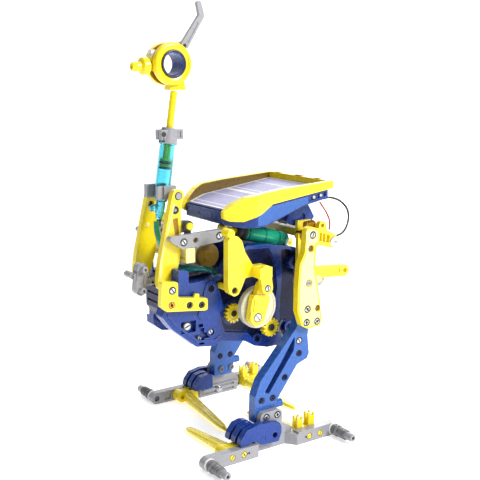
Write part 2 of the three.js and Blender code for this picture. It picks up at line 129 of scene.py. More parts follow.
def clear(name, color, deep, rough=0.06, trans=0.8):
    """Tinted clear plastic with faint moulding streaks."""
    m = bpy.data.materials.new(name)
    n, l = nt(m)
    b = n["Principled BSDF"]
    b.inputs["Transmission Weight"].default_value = trans
    b.inputs["IOR"].default_value = 1.45
    b.inputs["Coat Weight"].default_value = 0.5
    b.inputs["Coat Roughness"].default_value = 0.04
    tc = n.new("ShaderNodeTexCoord")
    big = n.new("ShaderNodeTexNoise"); big.inputs["Scale"].default_value = 60
    st = n.new("ShaderNodeTexNoise"); st.inputs["Scale"].default_value = 420; st.inputs["Detail"].default_value = 4
    l.new(tc.outputs["Object"], big.inputs["Vector"]); l.new(tc.outputs["Object"], st.inputs["Vector"])
    ramp = n.new("ShaderNodeValToRGB")
    ramp.color_ramp.elements[0].position = 0.3; ramp.color_ramp.elements[0].color = (*deep, 1)
    ramp.color_ramp.elements[1].position = 0.65; ramp.color_ramp.elements[1].color = (*color, 1)
    l.new(big.outputs["Fac"], ramp.inputs["Fac"]); l.new(ramp.outputs["Color"], b.inputs["Base Color"])
    rr = n.new("ShaderNodeMapRange"); rr.inputs["To Min"].default_value = rough; rr.inputs["To Max"].default_value = rough + 0.12
    l.new(st.outputs["Fac"], rr.inputs["Value"]); l.new(rr.outputs["Result"], b.inputs["Roughness"])
    bump = n.new("ShaderNodeBump"); bump.inputs["Strength"].default_value = 0.08; bump.inputs["Distance"].default_value = 0.0002
    l.new(st.outputs["Fac"], bump.inputs["Height"]); l.new(bump.outputs["Normal"], b.inputs["Normal"])
    return m


def metal(name, color, rough=0.28):
    """Turned or drawn steel: streaks round the part, darker patches."""
    m = bpy.data.materials.new(name)
    n, l = nt(m)
    b = n["Principled BSDF"]
    b.inputs["Metallic"].default_value = 1.0
    b.inputs["Anisotropic"].default_value = 0.4
    tc = n.new("ShaderNodeTexCoord")
    mp = n.new("ShaderNodeMapping"); mp.inputs["Scale"].default_value = (60, 2600, 2600)
    l.new(tc.outputs["Object"], mp.inputs["Vector"])
    ns = n.new("ShaderNodeTexNoise"); ns.inputs["Scale"].default_value = 1; ns.inputs["Detail"].default_value = 3
    l.new(mp.outputs["Vector"], ns.inputs["Vector"])
    ramp = n.new("ShaderNodeValToRGB")
    ramp.color_ramp.elements[0].position = 0.3; ramp.color_ramp.elements[0].color = (*[c * 0.72 for c in color], 1)
    ramp.color_ramp.elements[1].position = 0.7; ramp.color_ramp.elements[1].color = (*color, 1)
    l.new(ns.outputs["Fac"], ramp.inputs["Fac"]); l.new(ramp.outputs["Color"], b.inputs["Base Color"])
    rr = n.new("ShaderNodeMapRange"); rr.inputs["To Min"].default_value = rough - 0.08; rr.inputs["To Max"].default_value = rough + 0.15
    l.new(ns.outputs["Fac"], rr.inputs["Value"]); l.new(rr.outputs["Result"], b.inputs["Roughness"])
    bump = n.new("ShaderNodeBump"); bump.inputs["Strength"].default_value = 0.1; bump.inputs["Distance"].default_value = 0.0001
    l.new(ns.outputs["Fac"], bump.inputs["Height"]); l.new(bump.outputs["Normal"], b.inputs["Normal"])
    return m


def cells(name):
    """Lavender-grey silicon under a clear film: crystal mottling, fine fingers along Y and two bus bars across."""
    m = bpy.data.materials.new(name)
    n, l = nt(m)
    b = n["Principled BSDF"]
    b.inputs["Coat Weight"].default_value = 0.15
    b.inputs["Coat Roughness"].default_value = 0.1
    b.inputs["Roughness"].default_value = 0.5
    tc = n.new("ShaderNodeTexCoord")
    sep = n.new("ShaderNodeSeparateXYZ"); l.new(tc.outputs["Object"], sep.inputs[0])
    vor = n.new("ShaderNodeTexVoronoi"); vor.inputs["Scale"].default_value = 210
    l.new(tc.outputs["Object"], vor.inputs["Vector"])
    ns = n.new("ShaderNodeTexNoise"); ns.inputs["Scale"].default_value = 90; l.new(tc.outputs["Object"], ns.inputs["Vector"])
    ramp = n.new("ShaderNodeValToRGB")
    ramp.color_ramp.elements[0].position = 0.0; ramp.color_ramp.elements[0].color = (0.25, 0.25, 0.43, 1)
    ramp.color_ramp.elements[1].position = 1.0; ramp.color_ramp.elements[1].color = (0.33, 0.33, 0.53, 1)
    l.new(vor.outputs["Color"], ramp.inputs["Fac"])

    def lines(out, pitch, width, offset=0.0):
        a = n.new("ShaderNodeMath"); a.operation = "ADD"; a.inputs[1].default_value = 10 * pitch + offset
        f = n.new("ShaderNodeMath"); f.operation = "MODULO"; f.inputs[1].default_value = pitch
        c = n.new("ShaderNodeMath"); c.operation = "LESS_THAN"; c.inputs[1].default_value = width
        l.new(out, a.inputs[0]); l.new(a.outputs[0], f.inputs[0]); l.new(f.outputs[0], c.inputs[0])
        return c.outputs[0]
    fingers = lines(sep.outputs["X"], 0.0022, 0.00022, 0.088)
    bus = lines(sep.outputs["Y"], 0.0205, 0.0009, 0.0)
    mx = n.new("ShaderNodeMath"); mx.operation = "MAXIMUM"
    half = n.new("ShaderNodeMath"); half.operation = "MULTIPLY"; half.inputs[1].default_value = 0.16
    l.new(fingers, half.inputs[0]); l.new(half.outputs[0], mx.inputs[0]); l.new(bus, mx.inputs[1])
    mix = n.new("ShaderNodeMix"); mix.data_type = "RGBA"; mix.inputs["B"].default_value = (0.82, 0.82, 0.9, 1)
    l.new(mx.outputs[0], mix.inputs["Factor"]); l.new(ramp.outputs["Color"], mix.inputs["A"])
    l.new(mix.outputs["Result"], b.inputs["Base Color"])
    bump = n.new("ShaderNodeBump"); bump.inputs["Strength"].default_value = 0.15; bump.inputs["Distance"].default_value = 0.0001
    l.new(ns.outputs["Fac"], bump.inputs["Height"]); l.new(bump.outputs["Normal"], b.inputs["Normal"])
    return m


MAT = {
    "yellow": plastic("yellow_plastic_look", (0.94, 0.77, 0.022), (0.90, 0.70, 0.015), rough=0.24, edge_highlight=0.55, coat=0.4),
    # pale cream; also the painted light on lit yellow faces and edges
    "cream": plastic("cream_plastic_and_painted_light_look", (0.92, 0.84, 0.36), (0.88, 0.79, 0.30), rough=0.25, edge_highlight=0.4, coat=0.4),
    "disc": plastic("disc_plastic_look", (0.62, 0.60, 0.47), (0.54, 0.52, 0.40), rough=0.22, edge_highlight=0.4, coat=0.5),
    # painted shade: the yellow as it looks in shadow
    "yellow_shade": plastic("yellow_painted_shade_look", (0.42, 0.22, 0.008), (0.33, 0.16, 0.006), rough=0.3, edge_highlight=0.3),
    # painted shade: the yellow in deep shadow
    "yellow_deep_shade": plastic("yellow_painted_deep_shade_look", (0.17, 0.060, 0.012), (0.11, 0.036, 0.008), rough=0.32, edge_highlight=0.35),
    # painted shade: the yellow in shadow, olive tone
    "olive": plastic("olive_painted_shade_look", (0.20, 0.125, 0.016), (0.15, 0.09, 0.012), rough=0.3, edge_highlight=0.5),
    "blue": plastic("blue_plastic_look", (0.017, 0.062, 0.31), (0.013, 0.048, 0.25), rough=0.26, edge_highlight=0.5, spec=0.4),
    # painted light: a lighter copy of the blue for lit faces
    "blue_lit": plastic("blue_painted_lit_look", (0.050, 0.150, 0.48), (0.040, 0.125, 0.41), rough=0.25, edge_highlight=0.5, spec=0.4),
    # painted shade: the blue in shadow
    "navy": plastic("navy_painted_shade_look", (0.006, 0.011, 0.062), (0.004, 0.008, 0.045), rough=0.28, edge_highlight=0.3, coat=0.15, spec=0.3),
    "grey": plastic("grey_plastic_look", (0.36, 0.36, 0.38), (0.31, 0.31, 0.33), rough=0.3, edge_highlight=0.5),
    # dark plastic; also the painted shade round pins and in their slots
    "dark": plastic("dark_plastic_and_painted_shade_look", (0.045, 0.046, 0.05), (0.025, 0.026, 0.03), rough=0.42, edge_highlight=0.35, coat=0.1),
    "ribgrey": plastic("rib_grey_look", (0.20, 0.20, 0.21), (0.12, 0.12, 0.13), rough=0.34, edge_highlight=0.5),
    "rubber": plastic("rubber_look", (0.020, 0.020, 0.022), (0.012, 0.012, 0.013), rough=0.6, edge_highlight=0.1, coat=0.0, grain=0.3),
    "black": plastic("black_wire_look", (0.015, 0.015, 0.016), (0.008, 0.008, 0.009), rough=0.4, edge_highlight=0.0, coat=0.15),
    "red": plastic("red_wire_look", (0.42, 0.035, 0.03), (0.28, 0.02, 0.02), rough=0.4, edge_highlight=0.0, coat=0.15),
    # white; also a painted highlight on the neck cap
    "white": plastic("white_line_and_highlight_look", (0.86, 0.86, 0.88), (0.76, 0.76, 0.8), rough=0.35, edge_highlight=0.1),
    "orange": plastic("orange_plastic_look", (0.75, 0.33, 0.03), (0.6, 0.24, 0.02), rough=0.33, edge_highlight=0.3),
    "teal": clear("teal_clear_look", (0.03, 0.50, 0.50), (0.02, 0.40, 0.41)),
    "green": clear("green_clear_look", (0.06, 0.80, 0.50), (0.03, 0.62, 0.40), trans=0.5),
    "cyan": clear("cyan_clear_look", (0.16, 0.66, 0.86), (0.12, 0.58, 0.80)),
    "aqua": clear("aqua_clear_look", (0.36, 0.84, 0.92), (0.30, 0.78, 0.88), trans=0.95),
    "steel": metal("motor_steel_look", (0.60, 0.61, 0.63)),
    "pin": metal("pin_metal_look", (0.68, 0.69, 0.71), rough=0.22),
    "copper": metal("copper_look", (0.55, 0.26, 0.10), rough=0.35),
    "cells": cells("solar_cell_look"),
}

# ------------------------------------------------------------------ mesh kernel (raw millimetres)
def from_faces(verts, faces):
    bm = bmesh.new()
    vs = [bm.verts.new(v) for v in verts]
    for f in faces:
        bm.faces.new([vs[i] for i in f])
    bmesh.ops.remove_doubles(bm, verts=bm.verts, dist=1e-5)
    bmesh.ops.recalc_face_normals(bm, faces=bm.faces)
    me = bpy.data.meshes.new("s")
    bm.to_mesh(me)
    bm.free()
    return me


def fillet(pts, r=0.8, k=4):
    out = []
    n = len(pts)
    for i in range(n):
        p, a, b = Vector(pts[i][:2]), Vector(pts[i - 1][:2]), Vector(pts[(i + 1) % n][:2])
        u, v = a - p, b - p
        if u.length < 1e-6 or v.length < 1e-6:
            continue
        ang = u.angle(v)
        if ang > math.radians(172):
            out.append(tuple(p)); continue
        d = min(r / math.tan(ang / 2), u.length * 0.45, v.length * 0.45)
        s, e = p + u.normalized() * d, p + v.normalized() * d
        for j in range(k + 1):
            t = j / k
            out.append(tuple((1 - t) ** 2 * s + 2 * t * (1 - t) * p + t * t * e))
    return out


def prism(pts, lo, hi, place):
    n = len(pts)
    verts = [place(u, v, lo) for u, v in pts] + [place(u, v, hi) for u, v in pts]
    faces = [list(range(n)), list(range(2 * n - 1, n - 1, -1))] + [[i, (i + 1) % n, n + (i + 1) % n, n + i] for i in range(n)]
    return from_faces(verts, faces)


def prismX(pts, a, b): return prism(pts, a, b, lambda u, v, w: (w, u, v))
def prismY(pts, a, b): return prism(pts, a, b, lambda u, v, w: (u, w, v))
def prismZ(pts, a, b): return prism(pts, a, b, lambda u, v, w: (u, v, w))
def box(x0, x1, y0, y1, z0, z1): return prismZ([(x0, y0), (x1, y0), (x1, y1), (x0, y1)], z0, z1)


def turned(a, b, profile, n=40):
    """Profile of (radius, distance) turned about the line from a towards b. Ends with radius 0 are closed."""
    p, d = Vector(a), (Vector(b) - Vector(a)).normalized()
    u = d.orthogonal().normalized()
    if abs(d.x) > 0.9:
        u = Vector((0, 1, 0)) - d * d.y; u.normalize()
    w = d.cross(u)
    verts, rings = [], []
    for r, t in profile:
        if r < 1e-6:
            rings.append([len(verts)]); verts.append(p + d * t)
        else:
            rings.append(list(range(len(verts), len(verts) + n)))
            for i in range(n):
                q = 2 * math.pi * i / n
                verts.append(p + d * t + (u * math.cos(q) + w * math.sin(q)) * r)
    faces = []
    for A, B in zip(rings, rings[1:]):
        if len(A) == 1 and len(B) == 1:
            continue
        for i in range(n):
            j = (i + 1) % n
            if len(A) == 1: faces.append([A[0], B[i], B[j]])
            elif len(B) == 1: faces.append([A[i], A[j], B[0]])
            else: faces.append([A[i], A[j], B[j], B[i]])
    if len(rings[0]) > 1: faces.append(rings[0])
    if len(rings[-1]) > 1: faces.append(rings[-1][::-1])
    return from_faces(verts, faces)


def rod(a, b, r, r2=None, n=28, ch=0.0):
    L = (Vector(b) - Vector(a)).length
    r2 = r if r2 is None else r2
    prof = [(r - ch, 0), (r, ch), (r2, L - ch), (r2 - ch, L)] if ch else [(r, 0), (r2, L)]
    return turned(a, b, prof, n)


def rodX(y, z, r, x0, x1, n=28, ch=0.0): return rod((x0, y, z), (x1, y, z), r, r, n, ch)


def ring(y, z, r0, r1, x0, x1, n=40, ch=0.25):
    """A closed washer about X."""
    prof = [(r0, x0), (r1 - ch, x0), (r1, x0 + ch), (r1, x1 - ch), (r1 - ch, x1), (r0 + ch, x1), (r0, x1 - ch)]
    m, n0 = len(prof), n
    verts = [(t, y + r * math.cos(2 * math.pi * i / n), z + r * math.sin(2 * math.pi * i / n)) for r, t in prof for i in range(n)]
    faces = [[j * n + i, j * n + (i + 1) % n, ((j + 1) % m) * n + (i + 1) % n, ((j + 1) % m) * n + i] for j in range(m) for i in range(n0)]
    return from_faces(verts, faces)


def hull(circles, n=36):
    pts = sorted({(round(u + r * math.cos(2 * math.pi * i / n), 5), round(v + r * math.sin(2 * math.pi * i / n), 5)) for u, v, r in circles for i in range(n)})
    def half(seq):
        h = []
        for p in seq:
            while len(h) > 1 and (h[-1][0] - h[-2][0]) * (p[1] - h[-2][1]) - (h[-1][1] - h[-2][1]) * (p[0] - h[-2][0]) <= 1e-7:
                h.pop()
            h.append(p)
        return h[:-1]
    return half(pts) + half(pts[::-1])


def merged(*meshes):
    bm = bmesh.new()
    for m in meshes:
        bm.from_mesh(m)
    me = bpy.data.meshes.new("s")
    bm.to_mesh(me)
    bm.free()
    return me


def boolean(a, b, op):
    oa, ob = bpy.data.objects.new("ta", a), bpy.data.objects.new("tb", b)
    scene.collection.objects.link(oa); scene.collection.objects.link(ob)
    mod = oa.modifiers.new("b", "BOOLEAN")
    mod.operation, mod.object, mod.solver = op, ob, "MANIFOLD"
    out = bpy.data.meshes.new_from_object(oa.evaluated_get(bpy.context.evaluated_depsgraph_get()))
    bpy.data.objects.remove(oa); bpy.data.objects.remove(ob)
    return out


def add(*ms):
    out = ms[0]
    for m in ms[1:]:
        out = boolean(out, m, "UNION")
    return out


def cut(base, *ms):
    for m in ms:
        base = boolean(base, m, "DIFFERENCE")
    return base


def both(a, b): return boolean(a, b, "INTERSECT")


def holesX(base, pts, x0, x1, r=2.5, cb=0.0):
    """Pin holes through X; cb adds a shallow wider counterbore at the x1 face."""
    cs = [rodX(p[0], p[1], p[2] if len(p) > 2 else r, x0 - 1, x1 + 1, 28) for p in pts]
    out = cut(base, merged(*cs))
    if cb:
        out = cut(out, merged(*[rodX(p[0], p[1], (p[2] if len(p) > 2 else r) + cb, x1 - 0.5, x1 + 1, 28) for p in pts]))
    return out


def gear_mesh(y, z, teeth, r, root, x0, x1):
    pts = []
    for i in range(teeth):
        for f, q in ((0, root), (0.26, root), (0.38, r * 0.94), (0.46, r), (0.80, r), (0.88, r * 0.94)):
            t = 2 * math.pi * (i + f) / teeth
            pts.append((y + q * math.cos(t), z + q * math.sin(t)))
    return prismX(pts, x0, x1)


USED = {}
def emit(name, mesh, mat, body, replaces=(), mirror=False, dy=0.0, bevel=0.3, slot=None, angle=32, seg=2):
    bm = bmesh.new(); bm.from_mesh(mesh)
    bmesh.ops.remove_doubles(bm, verts=bm.verts, dist=2e-4)
    s = -1 if mirror else 1
    for v in bm.verts:
        v.co = Vector((s * v.co.x, v.co.y + dy + FY, v.co.z)) / 1000
    if mirror:
        bmesh.ops.reverse_faces(bm, faces=bm.faces)
    for f in bm.faces:
        f.smooth = True
    me = bpy.data.meshes.new(name)
    bm.to_mesh(me); bm.free()
    me.materials.append(MAT[mat])
    o = bpy.data.objects.new(name, me)
    scene.collection.objects.link(o)
    if bevel:
        bv = o.modifiers.new("round", "BEVEL")
        bv.width = bevel / 1000; bv.segments = seg; bv.limit_method = "ANGLE"; bv.angle_limit = math.radians(angle)
        bv.use_clamp_overlap = True
        bv.harden_normals = False
        wn = o.modifiers.new("shade", "WEIGHTED_NORMAL"); wn.keep_sharp = True; wn.weight = 80
    me.set_sharp_from_angle(angle=math.radians(50 if bevel else 35))
    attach(o, body)
    if replaces:
        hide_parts(*replaces)
    return o


def pair(name, mesh, mat, body, dy=0.0, replaces=True, **k):
    """body has {} for the side. replaces True: CAD node name_left/right."""
    for side, mir, d in (("left", False, 0.0), ("right", True, dy)):
        emit(f"{name}_{side}_look" if replaces else f"{name}_{side}", mesh, mat, body.format(side), (f"{name}_{side}",) if replaces else (), mir, d, **k)


# pin head: a chamfered disc split by a screwdriver slot, or a hollow split rim, over a ring of painted shade
def pin(y, z, x, r=2.35, turn=0.6, depth=0.9, hollow=False, out=0.5):
    r0 = r - 0.3
    body = turned((0, y, z), (1, y, z), [(0, x - depth), (r0, x - depth), (r0, x + out - 0.3), (r0 - 0.3, x + out), (0, x + out)], 28)
    c, s = math.cos(turn), math.sin(turn)
    w = 0.40 if not hollow else 0.34
    L = r0 * (0.80 if not hollow else 1.3)
    slot = [(y + c * L - s * w, z + s * L + c * w), (y - c * L - s * w, z - s * L + c * w), (y - c * L + s * w, z - s * L - c * w), (y + c * L + s * w, z + s * L - c * w)]
    body = cut(body, prismX(slot, x - depth + 0.15, x + 2))
    if hollow:
        body = cut(body, rodX(y, z, r0 * 0.52, x - depth + 0.15, x + 2, 24))
    return body


def seat(y, z, x, r=2.35, depth=0.9, **k):
    """Painted shade: the dark ring round a pin and the dark bottom of its slot."""
    gap_shade = ring(y, z, r - 0.28, r + 0.5, x - depth - 0.1, x - 0.02, 32, 0.12)
    inner = rodX(y, z, r - 0.45, x - depth + 0.05, x - depth + 0.28, 28)
    return [gap_shade, inner]


def pins(name, specs, mat, body, mirror=False, dy=0.0):
    emit(name, merged(*[pin(*s[:3], **(s[3] if len(s) > 3 else {})) for s in specs]), mat, body, mirror=mirror, dy=dy, bevel=0)


def pins_pair(name, specs, mat, body, dy=0.0, pin_shades=True, sides=("left", "right")):
    m = [pin(*s[:3], **(s[3] if len(s) > 3 else {})) for s in specs]
    q = []
    for s in specs:
        q += seat(*s[:3], **{k: v for k, v in (s[3] if len(s) > 3 else {}).items() if k in ("r", "depth")})
    for side, mir, d in (("left", False, 0.0), ("right", True, dy)):
        if side not in sides:
            continue
        emit(f"{name}_{side}", merged(*m), mat, body.format(side), mirror=mir, dy=d, bevel=0)
        if pin_shades:
            emit(f"{name}_seat_{side}", merged(*q), "dark", body.format(side), mirror=mir, dy=d, bevel=0)


# ------------------------------------------------------------------ feet
BAR_OUT, BAR_IN = 68.0, 61.5
foot_plan = [(61.5, -20), (68, -20), (68, 14), (60.2, 14), (60.2, 43.2), (68, 49.2), (68, 76), (61.5, 76), (61.5, 54), (53.7, 47), (53.7, 9), (61.5, 9)]
lug = prismX(fillet([(20.5, 4), (20.5, 19.4), (21.4, 25.6), (23.4, 28), (38, 28.4), (40.6, 26.2), (41, 21.5), (40.2, 17.5), (47.8, 13.6), (50, 8.4), (50, 4)], 2.4), 55.4, 60.2)
end_front = prismX(hull([(-27.4, 4.75, 4.75)]) and hull([(-27.4, 4.75, 4.75), (10, 4.75, 4.75)]), BAR_IN, BAR_OUT)
foot = add(prismZ(fillet(foot_plan, 0.8, 3), 0, 8.5), prismX(hull([(-27.4, 4.75, 4.75), (9.2, 4.75, 4.75)])[:], BAR_IN, BAR_OUT),
           box(BAR_IN, BAR_OUT, -22, 14, 0, 9.5), box(BAR_IN, BAR_OUT, 50.5, 79, 0, 9.5),
           prismX(hull([(83.5, 4.75, 4.75), (55.3, 4.75, 4.75)]), BAR_IN, BAR_OUT), lug)
foot = holesX(foot, [(26.5, 24.2), (36.5, 24.2)], 55, 60.2, cb=0.5)
foot = holesX(foot, [(-8.4, 5), (1.7, 4.8), (60.6, 4.4), (70.8, 4.4)], 61, 68, r=2.4)
foot = cut(foot,
           merged(box(66.9, 69, 3.6, 6.6, 4.2, 5.8), box(66.9, 69, 56.2, 58.6, 3.7, 5.1)),
           # inner channel of the beam: a long groove on the inside face with two ribs
           merged(box(52, 54.9, 12, 26, 5.6, 7.4), box(52, 54.9, 12, 26, 1.6, 3.4), box(52, 54.9, 31, 44, 5.6, 7.4), box(52, 54.9, 31, 44, 1.6, 3.4)),
           merged(box(60.9, 62.6, -20, -14, 2.2, 7.3), box(60.9, 62.6, 74, 80, 2.2, 7.3)),
           merged(rodX(-27.4, 4.75, 2.4, 60.5, 64), rodX(83.5, 4.75, 2.4, 60.5, 64)))
pair("foot_frame", foot, "grey", "leg_{}", dy=STEP, bevel=0.35)
foot_rib = merged(*[rod((BAR_OUT - 0.6, y, 5), (69.5, y, 5), 4.6, 4.6, 36, 0.3) for y in (-27.4, 83.5)])
pair("foot_ring", foot_rib, "white", "leg_{}", dy=STEP, replaces=False, bevel=0)


def collar(y):
    prof = [(2.4, 69.2), (4.1, 69.3), (4.4, 69.7), (4.4, 71.3), (3.7, 71.6), (3.7, 72.3), (4.4, 72.6), (4.4, 74.4), (3.6, 74.8), (3.2, 75.8), (3.2, 76.6), (3.9, 77.0), (3.9, 78.3), (3.4, 78.6), (3.4, 79.2), (3.9, 79.5), (3.9, 81.0), (3.4, 81.3), (3.4, 82.0), (3.9, 82.3), (3.8, 83.6), (2.4, 84.2)]
    c = turned((0, y, 5), (1, y, 5), prof, 40)
    flutes = [rodX(y + 4.35 * math.cos(a), 5 + 4.35 * math.sin(a), 0.55, 76.6, 84.4, 10) for a in [i * math.pi / 4 for i in range(8)]]
    return cut(c, merged(*flutes))


pair("axle_collar", merged(collar(-27.4), collar(83.5)), "ribgrey", "leg_{}", dy=STEP, replaces=False, bevel=0)
tips = merged(*[cut(turned((0, y, 5), (1, y, 5), [(0, 82), (2.9, 82), (2.9, 90.2), (2.5, 90.8), (0, 90.8)], 32), rodX(y, 5, 1.3, 88.5, 92, 20)) for y in (-27.4, 83.5)])
pair("axle_tip", tips, "grey", "leg_{}", dy=STEP, replaces=False, bevel=0)
pins_pair("foot_pin", [(-8.4, 5, 68.0, dict(r=2.3, turn=0.9, out=0.2)), (1.7, 4.8, 68.0, dict(r=2.3, turn=2.2, out=0.2)), (60.6, 4.4, 68.0, dict(r=2.3, turn=0.4, out=0.2)), (70.8, 4.4, 68.0, dict(r=2.3, turn=1.2, out=0.2))], "yellow", "leg_{}", STEP)
pins_pair("ankle_pin", [(26.5, 24.2, 59.9, dict(turn=0.7, hollow=True)), (36.5, 24.2, 59.9, dict(turn=1.9, hollow=True))], "pin", "leg_{}", STEP)
inner_pin = turned((53.9, 28.5, 4.6), (50, 28.5, 4.6), [(0, 0), (2.9, 0), (2.9, 1.2), (2.2, 1.8), (2.2, 2.6), (1.6, 3.0), (0, 3.0)], 32)
pair("inner_pin", inner_pin, "pin", "leg_{}", dy=STEP, replaces=False, bevel=0)

# ------------------------------------------------------------------ toes
toe_out = [(-0.5, 9.9), (0.9, 15.5), (5.6, 21.1), (15.8, 23.1), (27.1, 22.3), (34.4, 20.6), (36, 17), (36, 12.5), (33.4, 6.4), (17.6, 7.4), (15, 10.6), (10.6, 11.6), (7.4, 9.9)]
toe_in = [(-0.5, 9.9), (0.9, 15.5), (5.6, 21.1), (12, 22.3), (17, 21.6), (17.4, 9.9)]
toe = add(holesX(prismX(fillet(toe_out, 1.6), 60.9, 66), [(30.3, 11.8, 2.1)], 60, 66, cb=0.5), prismX(fillet(toe_in, 1.6), 53.2, 58.4), prismX(fillet(toe_in, 1.6), 45.5, 50.7),
          rodX(7, 15, 2.6, 46, 65), rodX(8, 18.2, 1.6, 46, 65))
toe = cut(toe, merged(box(65.6, 67, 20.5, 21.6, 10, 15), box(65.6, 67, 18.2, 19.3, 12.6, 13.6)))
pair("toes", toe, "blue", "toes_{}", dy=STEP, bevel=0.75, seg=2)

# ------------------------------------------------------------------ claws
def tapered(reach, y_base, y_tip, x_base=60.0):
    """A long blade lofted from the foot to a rounded point, thin at the edges."""
    rings, N, M = [], 22, 20
    for i in range(N + 1):
        t = i / N
        x = x_base + (reach - x_base) * t
        wid = (4.8 * (1 - t) + 3.1 * t) * (min(1, math.sqrt(max(0.0, 1 - t) / 0.12 + 0.03)) if t > 0.88 else 1)
        top = 8.4 + (3.2 - 8.4) * t
        bot = 1.0 + (0.75 - 1.0) * t
        if t > 0.955: top = bot + (top - bot) * min(1, math.sqrt(max(0, 1 - t) / 0.045) + 0.15)
        yc = y_base + (y_tip - y_base) * t
        zc, hz = (top + bot) / 2, (top - bot) / 2
        rr = []
        for j in range(M):
            a = 2 * math.pi * j / M
            c, s = math.cos(a), math.sin(a)
            e = 0.62
            rr.append((x, yc + wid * math.copysign(abs(c) ** e, c), zc + hz * math.copysign(abs(s) ** e, s)))
        rings.append(rr)
    verts = [v for r in rings for v in r]
    faces = [[i * M + j, i * M + (j + 1) % M, (i + 1) * M + (j + 1) % M, (i + 1) * M + j] for i in range(N) for j in range(M)]
    faces += [list(range(M)), list(range(N * M, N * M + M))[::-1]]
    return from_faces(verts, faces)


def front_claw(reach, tip):
    c = add(rodX(-8.2, 5, 4.6, 52, 61.2, 40), box(53, 61.2, -8, 7.5, 1, 9), tapered(reach, -2.5, tip))
    c = cut(c, rodX(-8.2, 5, 1.7, 50, 54), box(54.5, 59.8, 1.6, 5.6, 6.5, 10))
    # shallow groove along the blade's top
    return cut(c, rod((50, -2.5 + (tip + 2.5) * 0.17, 10.0), (reach + 12, -2.5 + (tip + 2.5) * 0.82, 6.0), 2.7, 1.9, 20))


def rear_claw(reach, tip):
    c = add(box(53, 61.2, 54.4, 71, 0.8, 9), box(55, 61.2, 54.4, 59.4, 5, 18), box(55, 61.2, 65, 70.5, 5, 19), tapered(reach, 59.2, tip))
    c = cut(c, merged(rodX(56.9, 17.2, 1.5, 54, 62, 20), rodX(67.8, 18.0, 1.5, 54, 62, 20)), box(56.8, 59.6, 53, 72, 8.9, 20))
    return cut(c, rod((50, 59.2 + (tip - 59.2) * 0.17, 10.0), (reach + 12, 59.2 + (tip - 59.2) * 0.82, 6.0), 2.7, 1.9, 20))


for side, mir, d, reach, tf, rr_, tr in (("left", False, 0.0, -2.5, -4, -2.5, 53), ("right", True, STEP, -19, -12, -14.5, 58)):
    emit(f"front_claw_{side}_look", front_claw(reach, tf), "yellow", f"leg_{side}", (f"front_claw_{side}",), mir, d, bevel=0.35)
    emit(f"rear_claw_{side}_look", rear_claw(rr_, tr), "yellow", f"leg_{side}", (f"rear_claw_{side}",), mir, d, bevel=0.35)

# ------------------------------------------------------------------ shins
shin_outline = [(19.9, 18.6), (36.6, 18.6), (38.6, 23), (40.1, 33.5), (58.3, 57.1), (67.6, 60.2), (69.4, 63.9), (67.9, 77.5), (70, 94.8), (62, 94.8), (57.2, 85.3), (25, 50.5), (20.4, 39.3)]
sh = add(prismX(fillet(shin_outline, 1.4), 47, 55), rod((51, 38, 29), (51, 46.5, 29), 3.1, 3.1, 32, 0.4))
sh = cut(sh, prismX(fillet([(56.2, 80.0), (55.6, 71.9), (54.8, 68.1), (32.5, 39.6), (28.2, 40.6)], 1.2), 49.5, 56), rod((51, 44.5, 29), (51, 47.5, 29), 1.7, 1.7, 24))
sh = holesX(sh, [(60, 75), (60, 65.2), (47, 49), (25.9, 35.4), (36, 35.4)], 46, 55, cb=0.55)
sh = cut(sh, prismX(fillet([(22.4, 29.4), (37.2, 29.4), (37.4, 30.4), (22.4, 30.4)], 0.3), 54.4, 56))
# painted light: the shins are drawn in the lighter, lit blue
pair("shin", sh, "blue_lit", "leg_{}", dy=STEP, bevel=0.6)
# painted shade: a navy sheet at the bottom of the shin's pocket
pocket_shade = cut(prismX(fillet([(55.4, 79.0), (54.9, 71.9), (54.1, 68.4), (32.4, 40.5), (29.2, 41.2)], 1.0), 48.6, 49.9), rodX(47, 49, 3.2, 48, 52))
pair("shin_pocket_shade", pocket_shade, "navy", "leg_{}", dy=STEP, replaces=False, bevel=0)
pins_pair("shin_pin", [(60, 75, 54.7, dict(turn=2.0, hollow=False))], "pin", "leg_{}", STEP)
inner = merged(*[turned((47.1, y, z), (46.0, y, z), [(0, -0.4), (2.2, -0.4), (2.2, 0.7), (1.8, 1.05), (0, 1.05)], 26) for y, z in ((25.9, 35.4), (36, 35.4), (60, 75), (60, 65.2))])
pair("shin_inner_pin", inner, "navy", "leg_{}", dy=STEP, replaces=False, bevel=0)
inner2 = merged(*[cut(turned((47.1, y, z), (45.6, y, z), [(0, -0.4), (2.6, -0.4), (2.6, 1.0), (2.1, 1.45), (0, 1.45)], 26), rodX(y, z, 1.1, 45, 46.4, 18)) for y, z in ((26.5, 24.2), (36.5, 24.2))])
pair("ankle_inner_pin", inner2, "ribgrey", "leg_{}", dy=STEP, replaces=False, bevel=0)
pins_pair("shin_plug", [(25.9, 35.4, 54.0, dict(turn=1.0, r=2.45, out=0.2)), (36, 35.4, 54.0, dict(turn=2.4, r=2.45, out=0.2)), (60, 65.2, 53.6, dict(turn=0.3, r=2.45, out=0.1)), (47, 49, 53.2, dict(turn=0.9, r=2.45, out=0.1))], "navy", "leg_{}", STEP)

